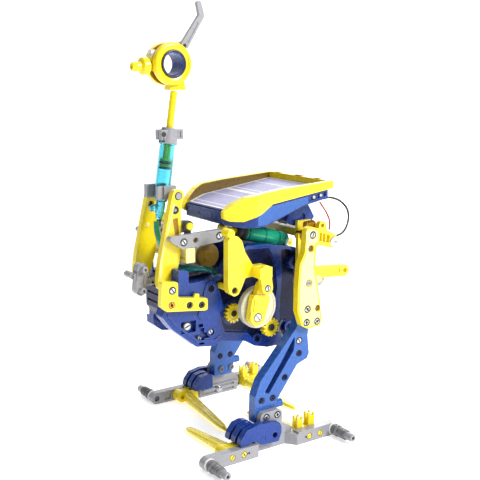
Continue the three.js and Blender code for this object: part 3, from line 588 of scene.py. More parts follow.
# ------------------------------------------------------------------ leg plates
plate_outline = [(61.2, 159.9), (59.4, 141.8), (55.1, 134.5), (53.7, 116.1), (53.6, 99.5), (57.5, 88.1), (63.4, 85), (75.3, 85.8), (76.2, 90), (74.9, 103.6), (69.2, 129.9), (70.5, 147.2),
                 (84, 143.6), (88.8, 144.4), (91, 148), (89, 152.2), (81.9, 156), (64.9, 161.1)]
plate_holes = [(66.7, 154.8), (65.4, 144.8), (62.7, 100), (72.7, 99.3), (62, 90), (72, 89.4)]
pl = prismX(fillet(plate_outline, 2.2), 55.4, 60.8)
pl = add(pl, prismX(hull([(68.5, 126, 4.6), (101.5, 123.4, 4.4)]), 52.5, 56.5))
pl = cut(pl, prismX(fillet([(72.6, 150.0), (82.2, 147.2), (83, 152.9), (73.4, 156.2)], 0.8), 58.0, 62))
pl = add(pl, merged(box(57.2, 60.4, 75.6, 76.4, 147.4, 156.4), box(57.2, 60.4, 79.0, 79.8, 146.6, 155.6)))
pl = holesX(pl, plate_holes + [(63.8, 119.4)], 52, 60.8, cb=0.5)
pl = cut(pl, rodX(102, 123.3, 1.9, 51, 58), rodX(86.3, 148.1, 2.4, 54, 62), prismX(hull([(76, 125.4, 2.6), (95, 124.0, 2.3)]), 55.6, 58))
pair("rear_plate", pl, "yellow", "leg_{}", dy=STEP, bevel=0.4)
# painted light: a pale cream sheet over the plate's lit outer face
lit_face = cut(prismX(fillet([(60.4, 160.6 - 2.0), (60.9, 141.2), (56.7, 134.0), (55.3, 116.1), (55.2, 99.9), (58.9, 89.3), (63.9, 86.6), (74.0, 87.3), (74.6, 90), (73.3, 103.3), (67.5, 129.9), (68.4, 148.4), (71.4, 149.4), (71.6, 157.4), (65.2, 159.3)], 2.0), 60.75, 61.1),
           merged(*[rodX(y, z, 3.1, 60, 62) for y, z in plate_holes + [(63.8, 119.4)]]))
pair("plate_lit_face", lit_face, "cream", "leg_{}", dy=STEP, replaces=False, bevel=0.12)
pins_pair("plate_pin", [(66.7, 154.8, 60.7, dict(turn=1.3)), (62.7, 100, 60.5, dict(turn=2.3, hollow=True)), (62, 90, 60.5, dict(turn=1.6, hollow=True)), (72, 89.4, 60.5, dict(turn=0.5, hollow=True))], "pin", "leg_{}", STEP)
arm_pin = cut(turned((0, 86.3, 148.1), (1, 86.3, 148.1), [(0, 56), (3.5, 56), (3.5, 61.2), (3.1, 61.6), (0, 61.6)], 36), prismX([(83.9, 149.1), (88.5, 147.9), (88.7, 146.9), (84.1, 148.1)], 60.6, 63))
pair("arm_pin", arm_pin, "pin", "leg_{}", dy=STEP, replaces=False, bevel=0)
# painted shade: olive discs sunk in two of the plate holes
pair("plate_hole_shade", merged(rodX(65.4, 144.8, 2.4, 56, 59.2), rodX(72.7, 99.3, 2.4, 56, 59.2)), "olive", "leg_{}", dy=STEP, replaces=False, bevel=0)
pair("plate_peg", add(rod((57.0, 68, 119.6), (57.0, 78.2, 119.6), 1.9, 1.9, 24, 0.3), box(55.6, 58.4, 70, 77, 118.4, 123)), "cream", "leg_{}", dy=STEP, replaces=False, bevel=0.3)

# ------------------------------------------------------------------ hip cranks
CY, CZ, THROW = 79.3, 119.4, 15.5
for side, mir, d in (("left", False, -1), ("right", True, 1)):
    hc = add(prismX(hull([(CY, CZ, 6.2), (CY + d * THROW, CZ, 4.6)]), 47.4, 52.1), rodX(CY, CZ, 3.2, 21, 48, 36), rodX(CY + d * THROW, CZ, 2.35, 51, 60.9, 36, 0.3))
    hc = cut(hc, prismX(hull([(CY + d * 2.5, CZ, 2.2), (CY + d * 9.5, CZ, 1.6)]), 51.2, 53))
    hc = cut(hc, prismX([(CY + d * THROW - 1.6, CZ - 0.4), (CY + d * THROW + 1.6, CZ - 0.4), (CY + d * THROW + 1.6, CZ + 0.4), (CY + d * THROW - 1.6, CZ + 0.4)], 60.1, 62))
    emit(f"hip_crank_{side}_look", hc, "grey", f"hip_{side}", (f"hip_crank_{side}",), mir, bevel=0.3)

# ------------------------------------------------------------------ body shells
shell_outline = [(-41.3, 103.1), (-33.5, 93.1), (-13.9, 77.1), (1.4, 75.1), (6.6, 77.9), (28.8, 74), (37, 68.8), (49.1, 65.6), (57.6, 65.6), (74.9, 70.5), (84, 82), (88, 100), (87.5, 119), (83, 131), (74, 140.2),
                 (50.3, 144.6), (30, 145.8), (18, 139), (9, 127), (3, 125.4), (-6, 125), (-19.9, 124), (-19.9, 133.7), (-28, 134.7), (-28, 121.8), (-38, 112)]
DY, DZ = 27.6, 104.3
shell = prismX(fillet(shell_outline, 2.0), 20, 30.2)
shell = cut(shell,
            # sunken gear bay and the big rear bay
            prismX(fillet([(2, 123), (8.5, 124.5), (18.8, 136.4), (30, 143.4), (50, 142.2), (56, 132), (58, 110), (52, 90), (44, 77), (36, 74.5), (30, 80), (10, 84), (6, 100), (1, 110)], 3), 28.2, 32),
            prismX(fillet([(61, 140.6), (72.5, 138), (80.6, 129.8), (85, 118.8), (85.6, 100.6), (81.8, 83.4), (74.6, 73.4), (62, 70), (60, 90), (62, 120)], 3), 26.0, 32),
            # square socket and cross-shaped recess
            box(26.5, 32, -26.6, -14.2, 88.6, 97.2), prismX(fillet([(-12.2, 91.0), (-8.2, 91.0), (-8.2, 93.6), (-12.2, 93.6)], 0.3), 27, 32),
            box(27.5, 32, -16.5, -2.4, 82.2, 86.6), box(27.5, 32, -11.6, -7.2, 77.9, 90.4))
shell = add(shell, merged(ring(39.3, 73.9, 2.5, 4.3, 28.0, 30.9), ring(-1.3, 118.6, 2.5, 4.4, 29.5, 30.9), ring(-1.5, 86.1, 2.5, 3.6, 29.5, 30.7)),
            merged(ring(46, 83.8, 2.7, 5.8, 27.9, 30.6), ring(18, 97, 2.7, 5.2, 24.8, 25.6)),
            merged(ring(74, 128, 2.5, 5.0, 25.5, 30.4), ring(70, 78, 2.4, 4.4, 25.5, 29.8)),
            prismX(fillet([(-38, 104.2), (-32.2, 96.2), (-13.2, 80.4), (1.0, 78.3), (6.4, 81.2), (6.0, 82.6), (0.8, 79.9), (-12.6, 82.0), (-31.0, 97.4), (-36.6, 105.0)], 0.5), 29.8, 30.9))
shell = holesX(shell, [(-1.3, 118.6), (-1.5, 86.1), (39.3, 73.9), (CY, CZ, 3.5), (DY, DZ, 3.3), (18, 97, 2.7), (46, 83.8, 2.7), (6.9, 119.4, 2.7), (74, 128), (70, 78, 2.2)], 19, 32)
emit("body_shell_left_look", shell, "blue", "chassis", ("body_shell_left",), bevel=0.4)
emit("body_shell_right_look", cut(shell, box(19, 32, -45, -21, 60, 140)), "blue", "chassis", ("body_shell_right",), True, bevel=0.4)
ear = cut(prismX(hull([(-1.3, 118.6, 5.4), (3.5, 104, 5.2), (-8.6, 100.5, 4.0)]), 30.1, 30.95), rodX(-1.3, 118.6, 2.9, 29, 32))
pair("shell_ear", ear, "blue", "chassis", replaces=False, bevel=0.25)
# painted shade: navy sheets at the floor of the two sunken bays
bay_shade = merged(prismX(fillet([(3.4, 122), (9, 123.4), (19.4, 135.4), (30.4, 142.2), (49.4, 141), (55, 131.4), (57, 110), (51, 90.6), (43.4, 78.2), (36, 75.8), (30.4, 81.4), (10.8, 85.4), (6.9, 100.4), (2, 110.6)], 3), 28.0, 28.5),
             prismX(fillet([(62, 139.4), (72, 136.8), (79.6, 129.2), (83.8, 118.4), (84.4, 100.8), (80.8, 84), (74, 74.6), (63, 71.3), (61, 90), (63, 120)], 3), 25.8, 26.3))
bay_shade = cut(bay_shade, merged(*[rodX(y, z, r, 24, 31) for y, z, r in [(39.3, 73.9, 4.6), (CY, CZ, 3.7), (DY, DZ, 3.5), (18, 97, 9.2), (46, 83.8, 6.1), (6.9, 119.4, 2.9), (74, 128, 5.3), (70, 78, 4.7)]]))
pair("shell_bay_shade", bay_shade, "navy", "chassis", replaces=False, bevel=0)
pins_pair("socket_pin", [(-20.4, 92.9, 28.2, dict(turn=0.4, r=3.2, depth=2))], "steel", "chassis", sides=("left",))
pins_pair("shell_pin", [(-10.6, 82.6, 28.6, dict(turn=1.1, r=1.8, depth=1.4)), (-1.5, 86.1, 29.2, dict(turn=2.0, r=2.3))], "steel", "chassis")
pins_pair("shell_plug", [(-1.3, 118.6, 29.4, dict(turn=0.8, r=2.4, hollow=True)), (39.3, 73.9, 29.4, dict(turn=0.2, r=2.4, hollow=True)), (74, 128, 29.2, dict(turn=1.4, r=2.4, hollow=True)), (70, 78, 28.8, dict(turn=1.4, r=2.1))], "navy", "chassis")
flash = ring(62.6, 80.8, 6.6, 8.4, 35.2, 37.0)
flash = both(flash, prismX([(62.6, 80.8), (48, 100), (48, 60), (62, 66)], 34, 38))
emit("guard_left", add(flash, rod((30.4, 55.6, 77.8), (36.4, 55.6, 77.8), 1.8, 1.8, 20)), "steel", "chassis", bevel=0.2)
emit("guard_right", add(flash, rod((30.4, 55.6, 77.8), (36.4, 55.6, 77.8), 1.8, 1.8, 20)), "steel", "chassis", mirror=True, bevel=0.2)

case_outline = [(-27, 100), (-16, 84), (6, 80.5), (40, 73), (70, 76), (81, 98), (79, 120), (66, 127), (-17, 127), (-27, 118)]
case = prismX(fillet(case_outline, 2.5), -19.7, 19.7)
case = cut(case, merged(*[prismX(fillet([(p[0] * 1.0, p[1]) for p in [(-26, 132), (-26, 125.6), (66, 125.6), (66, 132)]], 0.1), x, x + 1.2) for x in (-13, -5, 3.8, 11.8)]))
case = cut(case, merged(*[box(-17, 17, -28, -25.9, z, z + 1.4) for z in (104, 110, 116)]))
emit("gearbox_case_look", case, "navy", "chassis", ("gearbox_case",), bevel=0.8)
motor = add(turned((-15, 6.5, 138.6), (15, 6.5, 138.6), [(0, 0), (8.2, 0), (9.2, 1.0), (9.2, 29), (8.2, 30), (0, 30)], 48), box(-12, 12, -1, 14, 127.3, 132))
motor = cut(motor, box(-1.5, 1.5, 13.8, 17, 134, 143))
emit("drive_motor_look", motor, "steel", "chassis", ("drive_motor",), bevel=0.25)
emit("motor_end_cap", merged(turned((12.0, 6.5, 138.6), (16, 6.5, 138.6), [(9.22, 0), (9.35, 0), (9.35, 2.2), (8.6, 3.1), (4.2, 3.1), (4.0, 3.6), (0, 3.6), (0, 3.0), (8.0, 2.8), (9.22, 1.0), (9.22, 0)][:9], 40)), "olive", "chassis", bevel=0)

# ------------------------------------------------------------------ chest
br_outline = [(-44.4, 130.2), (-31.8, 128.4), (-32, 117.3), (-7.8, 113.6), (-7.8, 104.6), (-41, 108.6), (-45.5, 112.5)]
br_holes = [(-36.3, 123), (-36.9, 112.6), (-22.4, 110.4), (-12.5, 109.2)]
br = prismX(fillet(br_outline, 2.0), 31.3, 36)
br = add(br, prismX(fillet([(-18.5, 114.2), (-13.5, 113.4), (-13.5, 117.0), (-16.6, 117.6)], 0.4), 31.8, 34))
br = holesX(br, br_holes, 31, 36, cb=0.5)
br = cut(br, merged(box(35.5, 37, -29.9, -29.2, 108.6, 113.4), box(35.5, 37, -28.3, -27.6, 108.6, 113.4)))
emit("chest_bracket_left_look", br, "yellow", "chassis", ("chest_bracket_left",), bevel=0.45)
emit("chest_bracket_right_look", cut(br, box(30, 37, -50, -28.5, 100, 135)), "yellow", "chassis", ("chest_bracket_right",), True, bevel=0.45)
pins_pair("bracket_pin", [(-36.3, 123, 35.7, dict(turn=2.2))], "pin", "chassis", sides=("left",))
pins_pair("bracket_plug", [(-22.4, 110.4, 35.0, dict(turn=1.2, r=2.42, hollow=True)), (-12.5, 109.2, 35.0, dict(turn=0.2, r=2.42, hollow=True))], "dark", "chassis")
pins_pair("bracket_axle", [(-36.9, 112.6, 35.4, dict(turn=1.8, r=2.42, hollow=True))], "orange", "chassis", sides=("left",))
post = add(box(-26, 26, -19, -11.6, 138, 148.7), box(-6, 6, -16.4, -12, 127.3, 139))
post = cut(post, merged(box(-24, -13, -20, -17.4, 140.2, 146.5), box(-11, -1, -20, -17.4, 140.2, 146.5), box(1, 11, -20, -17.4, 140.2, 146.5), box(13, 24, -20, -17.4, 140.2, 146.5)))
emit("chest_post_look", post, "cream", "chassis", ("chest_post",), bevel=0.4)
hub = prismX(hull([(-44.5, 134.2, 4), (-46, 119, 4)]), 2, 9)
con = add(hub, turned((5.5, -42, 123.5), (5.5, -28, 123.5), [(0, 0), (3.0, 0), (3.0, 3.2), (2.2, 3.6), (2.2, 5), (2.9, 5.4), (2.9, 13.6), (2.5, 14), (0, 14)], 32),
          rodX(-44.5, 134.2, 2.3, 8, 12.9, 32, 0.3), rodX(-46, 119, 2.3, 8, 12.9, 32, 0.3), rodX(-50.8, 129.5, 2.45, -4, 5.9, 32, 0.3), box(3, 8, -50.8, -44, 127.6, 131.4))
con = cut(con, rodX(-44.5, 134.2, 1.2, 11.5, 14, 20), rodX(-46, 119, 1.2, 11.5, 14, 20), rodX(-50.8, 129.5, 1.3, -5, -2.5, 20), prismX(hull([(-45, 129.8, 1.8), (-45.5, 124, 1.8)]), 8.2, 10), rod((5.5, -36, 123.5), (10, -36, 123.5), 1.1))
emit("chest_connector_look", con, "grey", "connector", ("chest_connector",), bevel=0.35)

# ------------------------------------------------------------------ neck
def neck_y(z): return -11.9 - (257.8 - z) * 0.155
def N(z, x=0.0): return (x, neck_y(z), z)


lever_outline = [(-25.9, 186.6), (-24, 189.4), (-20.8, 190.2), (-17.6, 188.6), (-16.5, 185.6), (-18.4, 180.4), (-19.2, 176), (-19.4, 161.1), (-20.6, 140), (-24, 129), (-28.3, 120.6), (-33, 118), (-37.8, 120.8), (-38.6, 127), (-36.8, 140.2)]
lv = prismX(fillet(lever_outline, 2.2), 15, 20)
lv = cut(lv, prismX(fillet([(-22.0, 170.4), (-21.0, 161), (-21.9, 146), (-24.4, 158), (-26.2, 169.6)], 0.8), 18.6, 21))
lv = holesX(lv, [(-21.1, 185.4), (-23.8, 175.7), (-33, 123)], 15, 20, cb=0.55)
pair("front_lever", lv, "yellow", "chassis", bevel=0.55)
# painted highlight: a pale cream strip along the lever's front edge
edge_highlight_strip = prismX(fillet([(-25.2, 180.5), (-23.9, 180.5), (-34.9, 141), (-36.2, 128), (-37.9, 128), (-36.2, 141)], 0.4), 19.9, 20.2)
pair("lever_strip", edge_highlight_strip, "cream", "chassis", replaces=False, bevel=0.1)
# painted shade: a shaded-yellow sheet at the bottom of the lever's pocket
well_shade = prismX(fillet([(-22.3, 169.8), (-21.4, 161), (-22.1, 148), (-24.3, 158.4), (-25.9, 169.2)], 0.6), 18.5, 18.8)
pair("lever_well", well_shade, "yellow_shade", "chassis", replaces=False, bevel=0)
pins_pair("lever_pin", [(-21.1, 185.4, 19.7, dict(turn=0.7, r=2.4)), (-23.8, 175.7, 19.7, dict(turn=1.9, r=2.4, hollow=True))], "dark", "chassis")
pair("lever_pin_core", merged(rodX(-21.1, 185.4, 1.25, 19, 20.35, 20, 0.15), rodX(-23.8, 175.7, 1.25, 18.6, 20.1, 20, 0.15)), "grey", "chassis", replaces=False, bevel=0)
pins_pair("lever_foot_pin", [(-33, 123, 19.4, dict(turn=1.4, r=2.42))], "yellow", "chassis")
side_rivet = turned((15.2, -27.2, 160.5), (12, -27.2, 160.5), [(0, 0), (1.8, 0), (1.7, 0.6), (1.1, 1.2), (0, 1.4)], 24)
pair("lever_rivet", side_rivet, "cream", "chassis", replaces=False, bevel=0)

tube = turned(N(183.2), N(222), [(0, 0), (5.2, 0), (5.8, 0.6), (5.8, 36.6), (6.5, 36.9), (6.5, 38.2), (5.8, 38.2)][:6] + [(6.5, 38.2), (4.6, 38.2), (4.6, 5.2), (4.2, 4.8), (0, 4.8)], 48)
emit("neck_barrel_look", tube, "aqua", "chassis", ("neck_barrel",), bevel=0)
cap = add(rod(N(220.4), N(231.6), 6.9, 5.6, 44, 0.4), box(-4.5, 4.5, -25, -7.2, 223.4, 230.6))
cap = cut(cap, rod(N(215), N(240), 2.95, 2.95, 32), rod(N(218), N(222.3), 6.55, 6.55, 44), box(-1.1, 1.1, -27, -21.4, 220, 235), box(-5, 5, -23.8, -22.6, 222, 225.0), box(3.6, 6, -13.4, -9.0, 224.8, 229.2))
emit("neck_cap_look", cap, "grey", "chassis", ("neck_cap",), bevel=0.35)
emit("neck_cap_pin", merged(rodX(-23.4, 227.4, 1.7, 4.0, 5.4, 24, 0.25)), "dark", "chassis", bevel=0)
# painted highlight: a white strip down the front of the cap
emit("neck_cap_highlight", box(-1.0, 1.0, -24.2, -21.8, 223.9, 230.2), "white", "chassis", bevel=0.2)
col = add(box(-10.5, 10.5, -31.8, -17, 182, 191.6), rodX(-21.1, 185.4, 2.25, -20.4, 20.4, 24))
col = cut(col, rod(N(170), N(205), 6.3, 6.3, 40), box(-6.6, 6.6, -34, -24.4, 180, 193), merged(box(8.9, 11, -29.6, -27.0, 181, 192), box(-11, -8.9, -29.6, -27.0, 181, 192)))
emit("neck_collar_look", col, "grey", "chassis", ("neck_collar",), bevel=0.4)
noz = add(turned(N(182.8), N(160), [(0, 0), (4.3, 0), (4.6, 0.4), (4.6, 2.6), (3.4, 3.6), (3.4, 11.6), (2.6, 12.6), (2.9, 13.4), (2.4, 14.2), (2.7, 15.0), (2.2, 16), (0, 16)], 36),
          turned((0, -24, 176), (0, -33, 175), [(0, 0), (2.6, 0), (2.6, 4.6), (2.1, 5), (2.5, 6.1), (2.0, 7), (2.4, 8.2), (1.8, 9), (0, 9)], 32))
emit("neck_nozzle_look", noz, "cyan", "chassis", ("neck_nozzle",), bevel=0)
rodp = add(rod(N(207), N(257.2), 2.5, 2.5, 32, 0.3))
rodp = cut(rodp, *[rod(N(213, dx), N(254, dx), 0.6, 0.6, 12) for dx in (2.6, -2.6)])
emit("piston_rod_look", add(rodp, rod(N(204), N(206.0), 4.2, 4.2, 40, 0.3), rod(N(205.8), N(208.4), 3.0, 3.0, 32), rod(N(208.2), N(210), 4.2, 4.2, 40, 0.3)), "yellow", "neck_rod", ("piston_rod",), bevel=0)
seal = turned(N(206.1), N(209), [(3.0, 0), (4.45, 0.15), (4.5, 1.0), (4.45, 1.9), (3.0, 2.0)], 40)
emit("neck_seal", seal, "rubber", "neck_rod", bevel=0)
emit("neck_piston_cup", turned(N(203.95), N(195), [(0, 0), (4.3, 0), (4.5, 0.3), (4.5, 1.1), (3.9, 1.5), (0, 1.5)], 40), "rubber", "neck_rod", bevel=0)

# ------------------------------------------------------------------ head
HY, HZ = -16.4, 275.9
def lathe_closed(prof, place, n=72):
    """A closed ring from a closed profile of (radius, x)."""
    m = len(prof)
    verts = [place(r, t, 2 * math.pi * i / n) for r, t in prof for i in range(n)]
    faces = [[j * n + i, j * n + (i + 1) % n, ((j + 1) % m) * n + (i + 1) % n, ((j + 1) % m) * n + i] for j in range(m) for i in range(n)]
    return from_faces(verts, faces)


def ring_at(y, z): return lambda r, t, a: (t, y + r * math.cos(a), z + r * math.sin(a))


er_prof = [(9.5, 3.6), (14.3, 3.6), (14.8, 4.1), (14.8, 7.0), (14.55, 7.7), (14.0, 8.35), (13.2, 8.75), (12.6, 8.8), (12.1, 8.5), (11.8, 8.0), (10.1, 7.8), (9.5, 7.4)]
pair("eye_ring", lathe_closed(er_prof, ring_at(HY, HZ)), "yellow", "head", bevel=0)
liner_prof = [(7.9, -8.4), (9.15, -8.4), (9.15, 8.4), (8.6, 8.4), (7.9, 8.0)]
emit("eye_liner_look", lathe_closed([(7.9, -8.0), (8.3, -8.4), (9.15, -8.4), (9.15, 8.4), (8.3, 8.4), (7.9, 8.0)], ring_at(HY, HZ)), "blue", "head", ("eye_liner",), bevel=0)
pair("eye_seal", lathe_closed([(8.5, 8.1), (9.45, 8.1), (9.45, 8.7), (8.9, 8.9), (8.5, 8.7)], ring_at(HY, HZ)), "dark", "head", replaces=False, bevel=0)
core = add(rodX(HY, HZ, 12, -3.2, 3.2, 72), box(-4.6, 4.6, -17.2, -5, 258, 260.6), box(-3.2, 3.2, -17.2, -5, 258, 266), box(-3, 3, -31.2, -26, 271, 281), prismX(hull([(-4.5, 288.6, 3.2), (-12, 281, 4)]), -3.2, 0))
core = cut(core, rodX(HY, HZ, 9.5, -5, 5, 72), merged(*[box(-1.4, 1.4, HY + 11.0 * math.cos(a) - 1.2, HY + 11.0 * math.cos(a) + 1.2, HZ + 11.6 * math.sin(a) - 1.0, HZ + 11.6 * math.sin(a) + 1.0) for a in (2.2, 2.7, 3.7, 4.1)]))
core = cut(core, merged(box(-2.2, 2.2, -15.6, -6.6, 256.5, 259.0)))
emit("head_core_look", core, "yellow", "head", ("head_core",), bevel=0.3)
# painted shade: a deep-shade band on the drum between the eye rings
drum_shade = lathe_closed([(11.8, -3.1), (12.4, -3.1), (12.4, 3.1), (11.8, 3.1)], ring_at(HY, HZ))
drum_shade = cut(drum_shade, box(-4, 4, -17.8, -4, 255, 268), box(-2.4, 2.4, -32, -26, 270, 282))
emit("head_drum_shade", drum_shade, "yellow_deep_shade", "head", bevel=0)
blk = add(box(-2.7, 2.7, HY - 14.6, HY - 10.2, HZ + 3.4, HZ + 9.6), box(-1.1, 1.1, HY - 15.0, HY - 14, HZ + 4.4, HZ + 8.6))
blk = cut(blk, merged(box(-3, 3, HY - 16, HY - 13.9, HZ + 6.3, HZ + 6.8)))
emit("head_block", blk, "white", "head", bevel=0.35)
# painted shade: a shaded-yellow band on the inner face of each eye ring
pair("eye_ring_inner_shade", both(lathe_closed([(12.2, 3.3), (14.2, 3.3), (14.2, 3.75), (12.2, 3.75)], ring_at(HY, HZ)), box(3, 4, -34, 0, 258, 293)), "yellow_shade", "head", replaces=False, bevel=0)
bk = turned((0, -31.6, 274.6), (0, -50, 273.8), [(0, 0), (4.2, 0), (4.4, 0.3), (6.1, 1.6), (6.1, 5.6), (5.6, 6.2), (3.4, 6.5), (3.4, 8.2), (3.0, 8.4), (3.0, 9.4), (3.4, 9.6), (3.4, 12.4), (2.6, 13.6), (0, 13.8)], 40)
bk = cut(bk, rod((0, -44.2, 274.05), (0, -47, 273.9), 1.6, 1.6, 24))
emit("beak_look", bk, "yellow", "head", ("beak",), bevel=0)
cr = add(prismX(hull([(-4.5, 288.6, 3), (9.8, 309.6, 2.1)]), 0.3, 3.2), prismX(hull([(9.8, 309.6, 2.1), (7.7, 317.6, 1.8)]), 0.3, 3.2))
cr = cut(cr, prismX(hull([(-2.4, 291.8, 1.3), (6.0, 304.2, 0.9)]), 2.6, 4), rodX(-4.5, 288.6, 1.4, 2.2, 4))
emit("crest_look", cr, "grey", "crest", ("crest",), bevel=0.45)
emit("crest_pin", merged(rodX(-4.5, 288.6, 1.35, -3.3, 3.1, 24, 0.2)), "dark", "head", bevel=0)

# ------------------------------------------------------------------ solar panel
SL = 0.137
def top(y): return 171.5 + SL * (y - 12.5)
def plan(o): return [(-26.5 - o, 12.5 - o), (26.5 + o, 12.5 - o), (38 + o, 33 - o * 0.6), (38 + o, 100.5 + o), (-38 - o, 100.5 + o), (-38 - o, 33 - o * 0.6)]


tray_prof = [(12, top(12)), (101, top(101)), (101, 176.8), (93.5, 175.4), (76, 172.3), (41, 160.2), (25, 159.8), (14, 162), (12, 163.5)]
pa, pb = Vector((13, 38.5, 152.9)), Vector((13, 80.5, 141.6))
pd = (pb - pa).normalized()
def P(s, dx=0.0): return tuple(pa + pd * s + Vector((dx, 0, 0)))


tray = both(prismX(fillet(tray_prof, 1.2), -39, 39), prismZ(fillet(plan(0), 2.5, 5), 150, 200))
tray = cut(tray, rod(P(-14), P(30), 7.6, 7.6, 36), prismX(fillet([(80, 175.0), (97.5, 178.2), (97.5, 181.4), (84, 179.4)], 0.6), 36.6, 40),
           merged(box(-8, 8, 11, 12.9, 166.0, 168.2), box(-24, -10, 11, 12.9, 165.6, 168.8), box(10, 24, 11, 12.9, 165.6, 168.8)))
emit("panel_tray_look", tray, "blue", "panel", ("panel_tray",), bevel=0.55)
# painted light: a lighter blue sheet over the tray's outer side faces
lit_side_sheet = both(prismX(fillet([(27, 161.2), (42, 161.4), (76, 173.0), (80, 173.8), (80, 179.2), (46, 174.6), (36, 169.0)], 0.8), 37.8, 38.35), box(30, 40, 34, 100, 150, 200))
pair("tray_lit_side", lit_side_sheet, "blue_lit", "panel", replaces=False, bevel=0.15)
pins_pair("tray_pin", [(86.5, 178.0, 37.3, dict(turn=0.6, r=1.5, depth=1.2)), (93.2, 178.9, 37.3, dict(turn=1.7, r=1.5, depth=1.2))], "white", "panel")
wall = [(9, 168), (14, 165.5), (23, 165), (36, 170.2), (45.5, 176.5), (88.8, 182.3), (105, 184.4), (105, 190), (55, 186.8), (35, 184.8), (25, 182.4), (17, 178), (9, 172)]
below = [(0, top(0) + 0.35), (120, top(120) + 0.35), (120, 140), (0, 140)]
def frame_walls(pl_out, pl_in, z_add=0.0):
    f = both(prismZ(fillet(pl_out, 2.0, 4), 150, 200), prismX(fillet([(y, z + z_add) for y, z in wall], 1.2), -45, 45))
    f = cut(f, prismZ(fillet(pl_in, 1.5, 4), 140, 210), both(prismZ(plan(0.35), 140, 210), prismX(below, -45, 45)), box(-26.6, 26.6, 0, 14.5, 150, 200))
    return f


fr = frame_walls(plan(2.8), plan(-1.4))
fr = cut(fr, merged(box(-39, -20, 104.4, 103.6 + 4, 186.6, 188.4), box(20, 39, 104.4, 107, 186.6, 188.4)) if False else box(-3, 3, 104.4, 107, 184, 187))
emit("panel_frame_look", fr, "yellow", "panel", ("panel_frame",), bevel=0.4)
# painted shade: the far inner faces lie in shade colour, drawn as a thin sheet on the inside of each wall
wall_shade = cut(both(prismZ(fillet(plan(-1.38), 1.5, 4), 150, 200), prismX(fillet([(y, z - 0.5) for y, z in wall], 1.0), -45, 45)), prismZ(fillet(plan(-1.75), 1.4, 4), 140, 210),
            prismX([(0, top(0) + 1.7), (120, top(120) + 1.7), (120, 140), (0, 140)], -45, 45), box(-26.6, 26.6, 0, 15.2, 150, 200), box(-45, 45, 98.5, 110, 150, 200))
emit("panel_wall_shade", both(wall_shade, box(-45, -20, 0, 100, 150, 200)), "olive", "panel", bevel=0)
# painted shade: the rear lugs are drawn in the shaded yellow
emit("panel_rear_lug", add(box(-4, 4, 99.6, 102.8, 188.0, 190.6), box(-30, -22, 99.8, 102.6, 188.0, 189.9), box(18, 24, 99.8, 102.6, 188.0, 189.9)) if False else merged(box(-4, 4, 99.8, 102.8, 187.6, 190.4), box(-30, -24, 99.8, 102.8, 187.6, 190.2), box(20, 26, 99.8, 102.8, 187.6, 190.2)), "yellow_shade", "panel", bevel=0.35)


def cell(y0, y1, x0=-45, x1=45, inset=-1.9, lo=0.3, hi=1.6):
    return both(both(prismX([(0, top(0) + lo), (120, top(120) + lo), (120, top(120) + hi), (0, top(0) + hi)], -45, 45), prismZ(fillet(plan(inset), 1.2, 3), 140, 210)), box(x0, x1, y0, y1, 140, 210))


emit("solar_cell_front_look", cell(13, 55), "cells", "panel", ("solar_cell_front",), bevel=0.15)
emit("solar_cell_rear_look", cell(57, 98.4), "cells", "panel", ("solar_cell_rear",), bevel=0.15)
edge_band = cut(cell(13.2, 98.2, inset=-2.1, lo=1.4, hi=1.72), merged(cell(14.6, 54.3, inset=-3.6, lo=0.5, hi=3), cell(57.6, 96.6, inset=-3.6, lo=0.5, hi=3)))
emit("cell_border", edge_band, "white", "panel", bevel=0)
mount = prismX(fillet([(72.5, 158.6), (76, 169.6), (80, 172.2), (91, 174.2), (99.6, 160), (96, 155.6), (80, 154.4)], 1.4), -22, 22)
mount = cut(mount, merged(*[box(x, x + 6, 70, 100, 152, 156.6) for x in (-17, -3, 11)]), rodX(88, 161, 2.4, 20.6, 24))
emit("panel_mount_look", mount, "blue", "panel", ("panel_mount",), bevel=0.5)

yoke = add(box(-51.8, 51.8, 82.8, 91, 146, 152), merged(box(31.3, 34.5, 74, 90, 129, 151), box(-34.5, -31.3, 74, 90, 129, 151)), merged(box(23, 26, 80, 93, 151, 159), box(-26, -23, 80, 93, 151, 159)))
yoke = cut(yoke, merged(rodX(82, 139, 2.4, 30, 36), rodX(82, 139, 2.4, -36, -30), rodX(88.5, 156, 1.8, 22, 27), rodX(88.5, 156, 1.8, -27, -22)),
           merged(*[box(x, x + 6.5, 81, 84.4, 147.4, 150.6) for x in (-50, -42, 36, 44)]), merged(*[box(x, x + 6.5, 84.6, 89.2, 150.6, 153) for x in (-50, -42, 36, 44)]))
emit("rear_yoke_look", yoke, "yellow", "chassis", ("rear_yoke",), bevel=0.35)
# painted shade: the rack's yellow teeth drawn in the shaded yellow
rack = prismX([(77.0, 152.3), (77.0, 158.6), (78.0, 160.4), (79.2, 158.8), (80.2, 160.6), (81.4, 159.0), (82.4, 160.8), (83.6, 159.2), (84.6, 161.0), (86.0, 159.4), (86.0, 152.3)], 36, 40.5)
emit("rear_rack", add(rack, box(36, 40.5, 83.2, 86, 151.6, 153)), "yellow_shade", "chassis", bevel=0.2)
tower = cut(prismX(hull([(87.6, 157.6, 3.4), (86.0, 152.6, 3.2), (89.0, 152.6, 3.2)]), 42.4, 46.6), rodX(87.6, 157.6, 1.6, 41, 48))
emit("rear_tower", tower, "yellow", "chassis", bevel=0.35)
emit("rear_coil", merged(turned((27, 79.2, 148.6), (36.4, 79.2, 148.6), [(0, 0), (3.0, 0)] + [(3.3 - 0.35 * (i % 2), 0.4 + 0.4 * i) for i in range(22)] + [(3.0, 9.4), (0, 9.4)], 28)), "copper", "chassis", bevel=0)

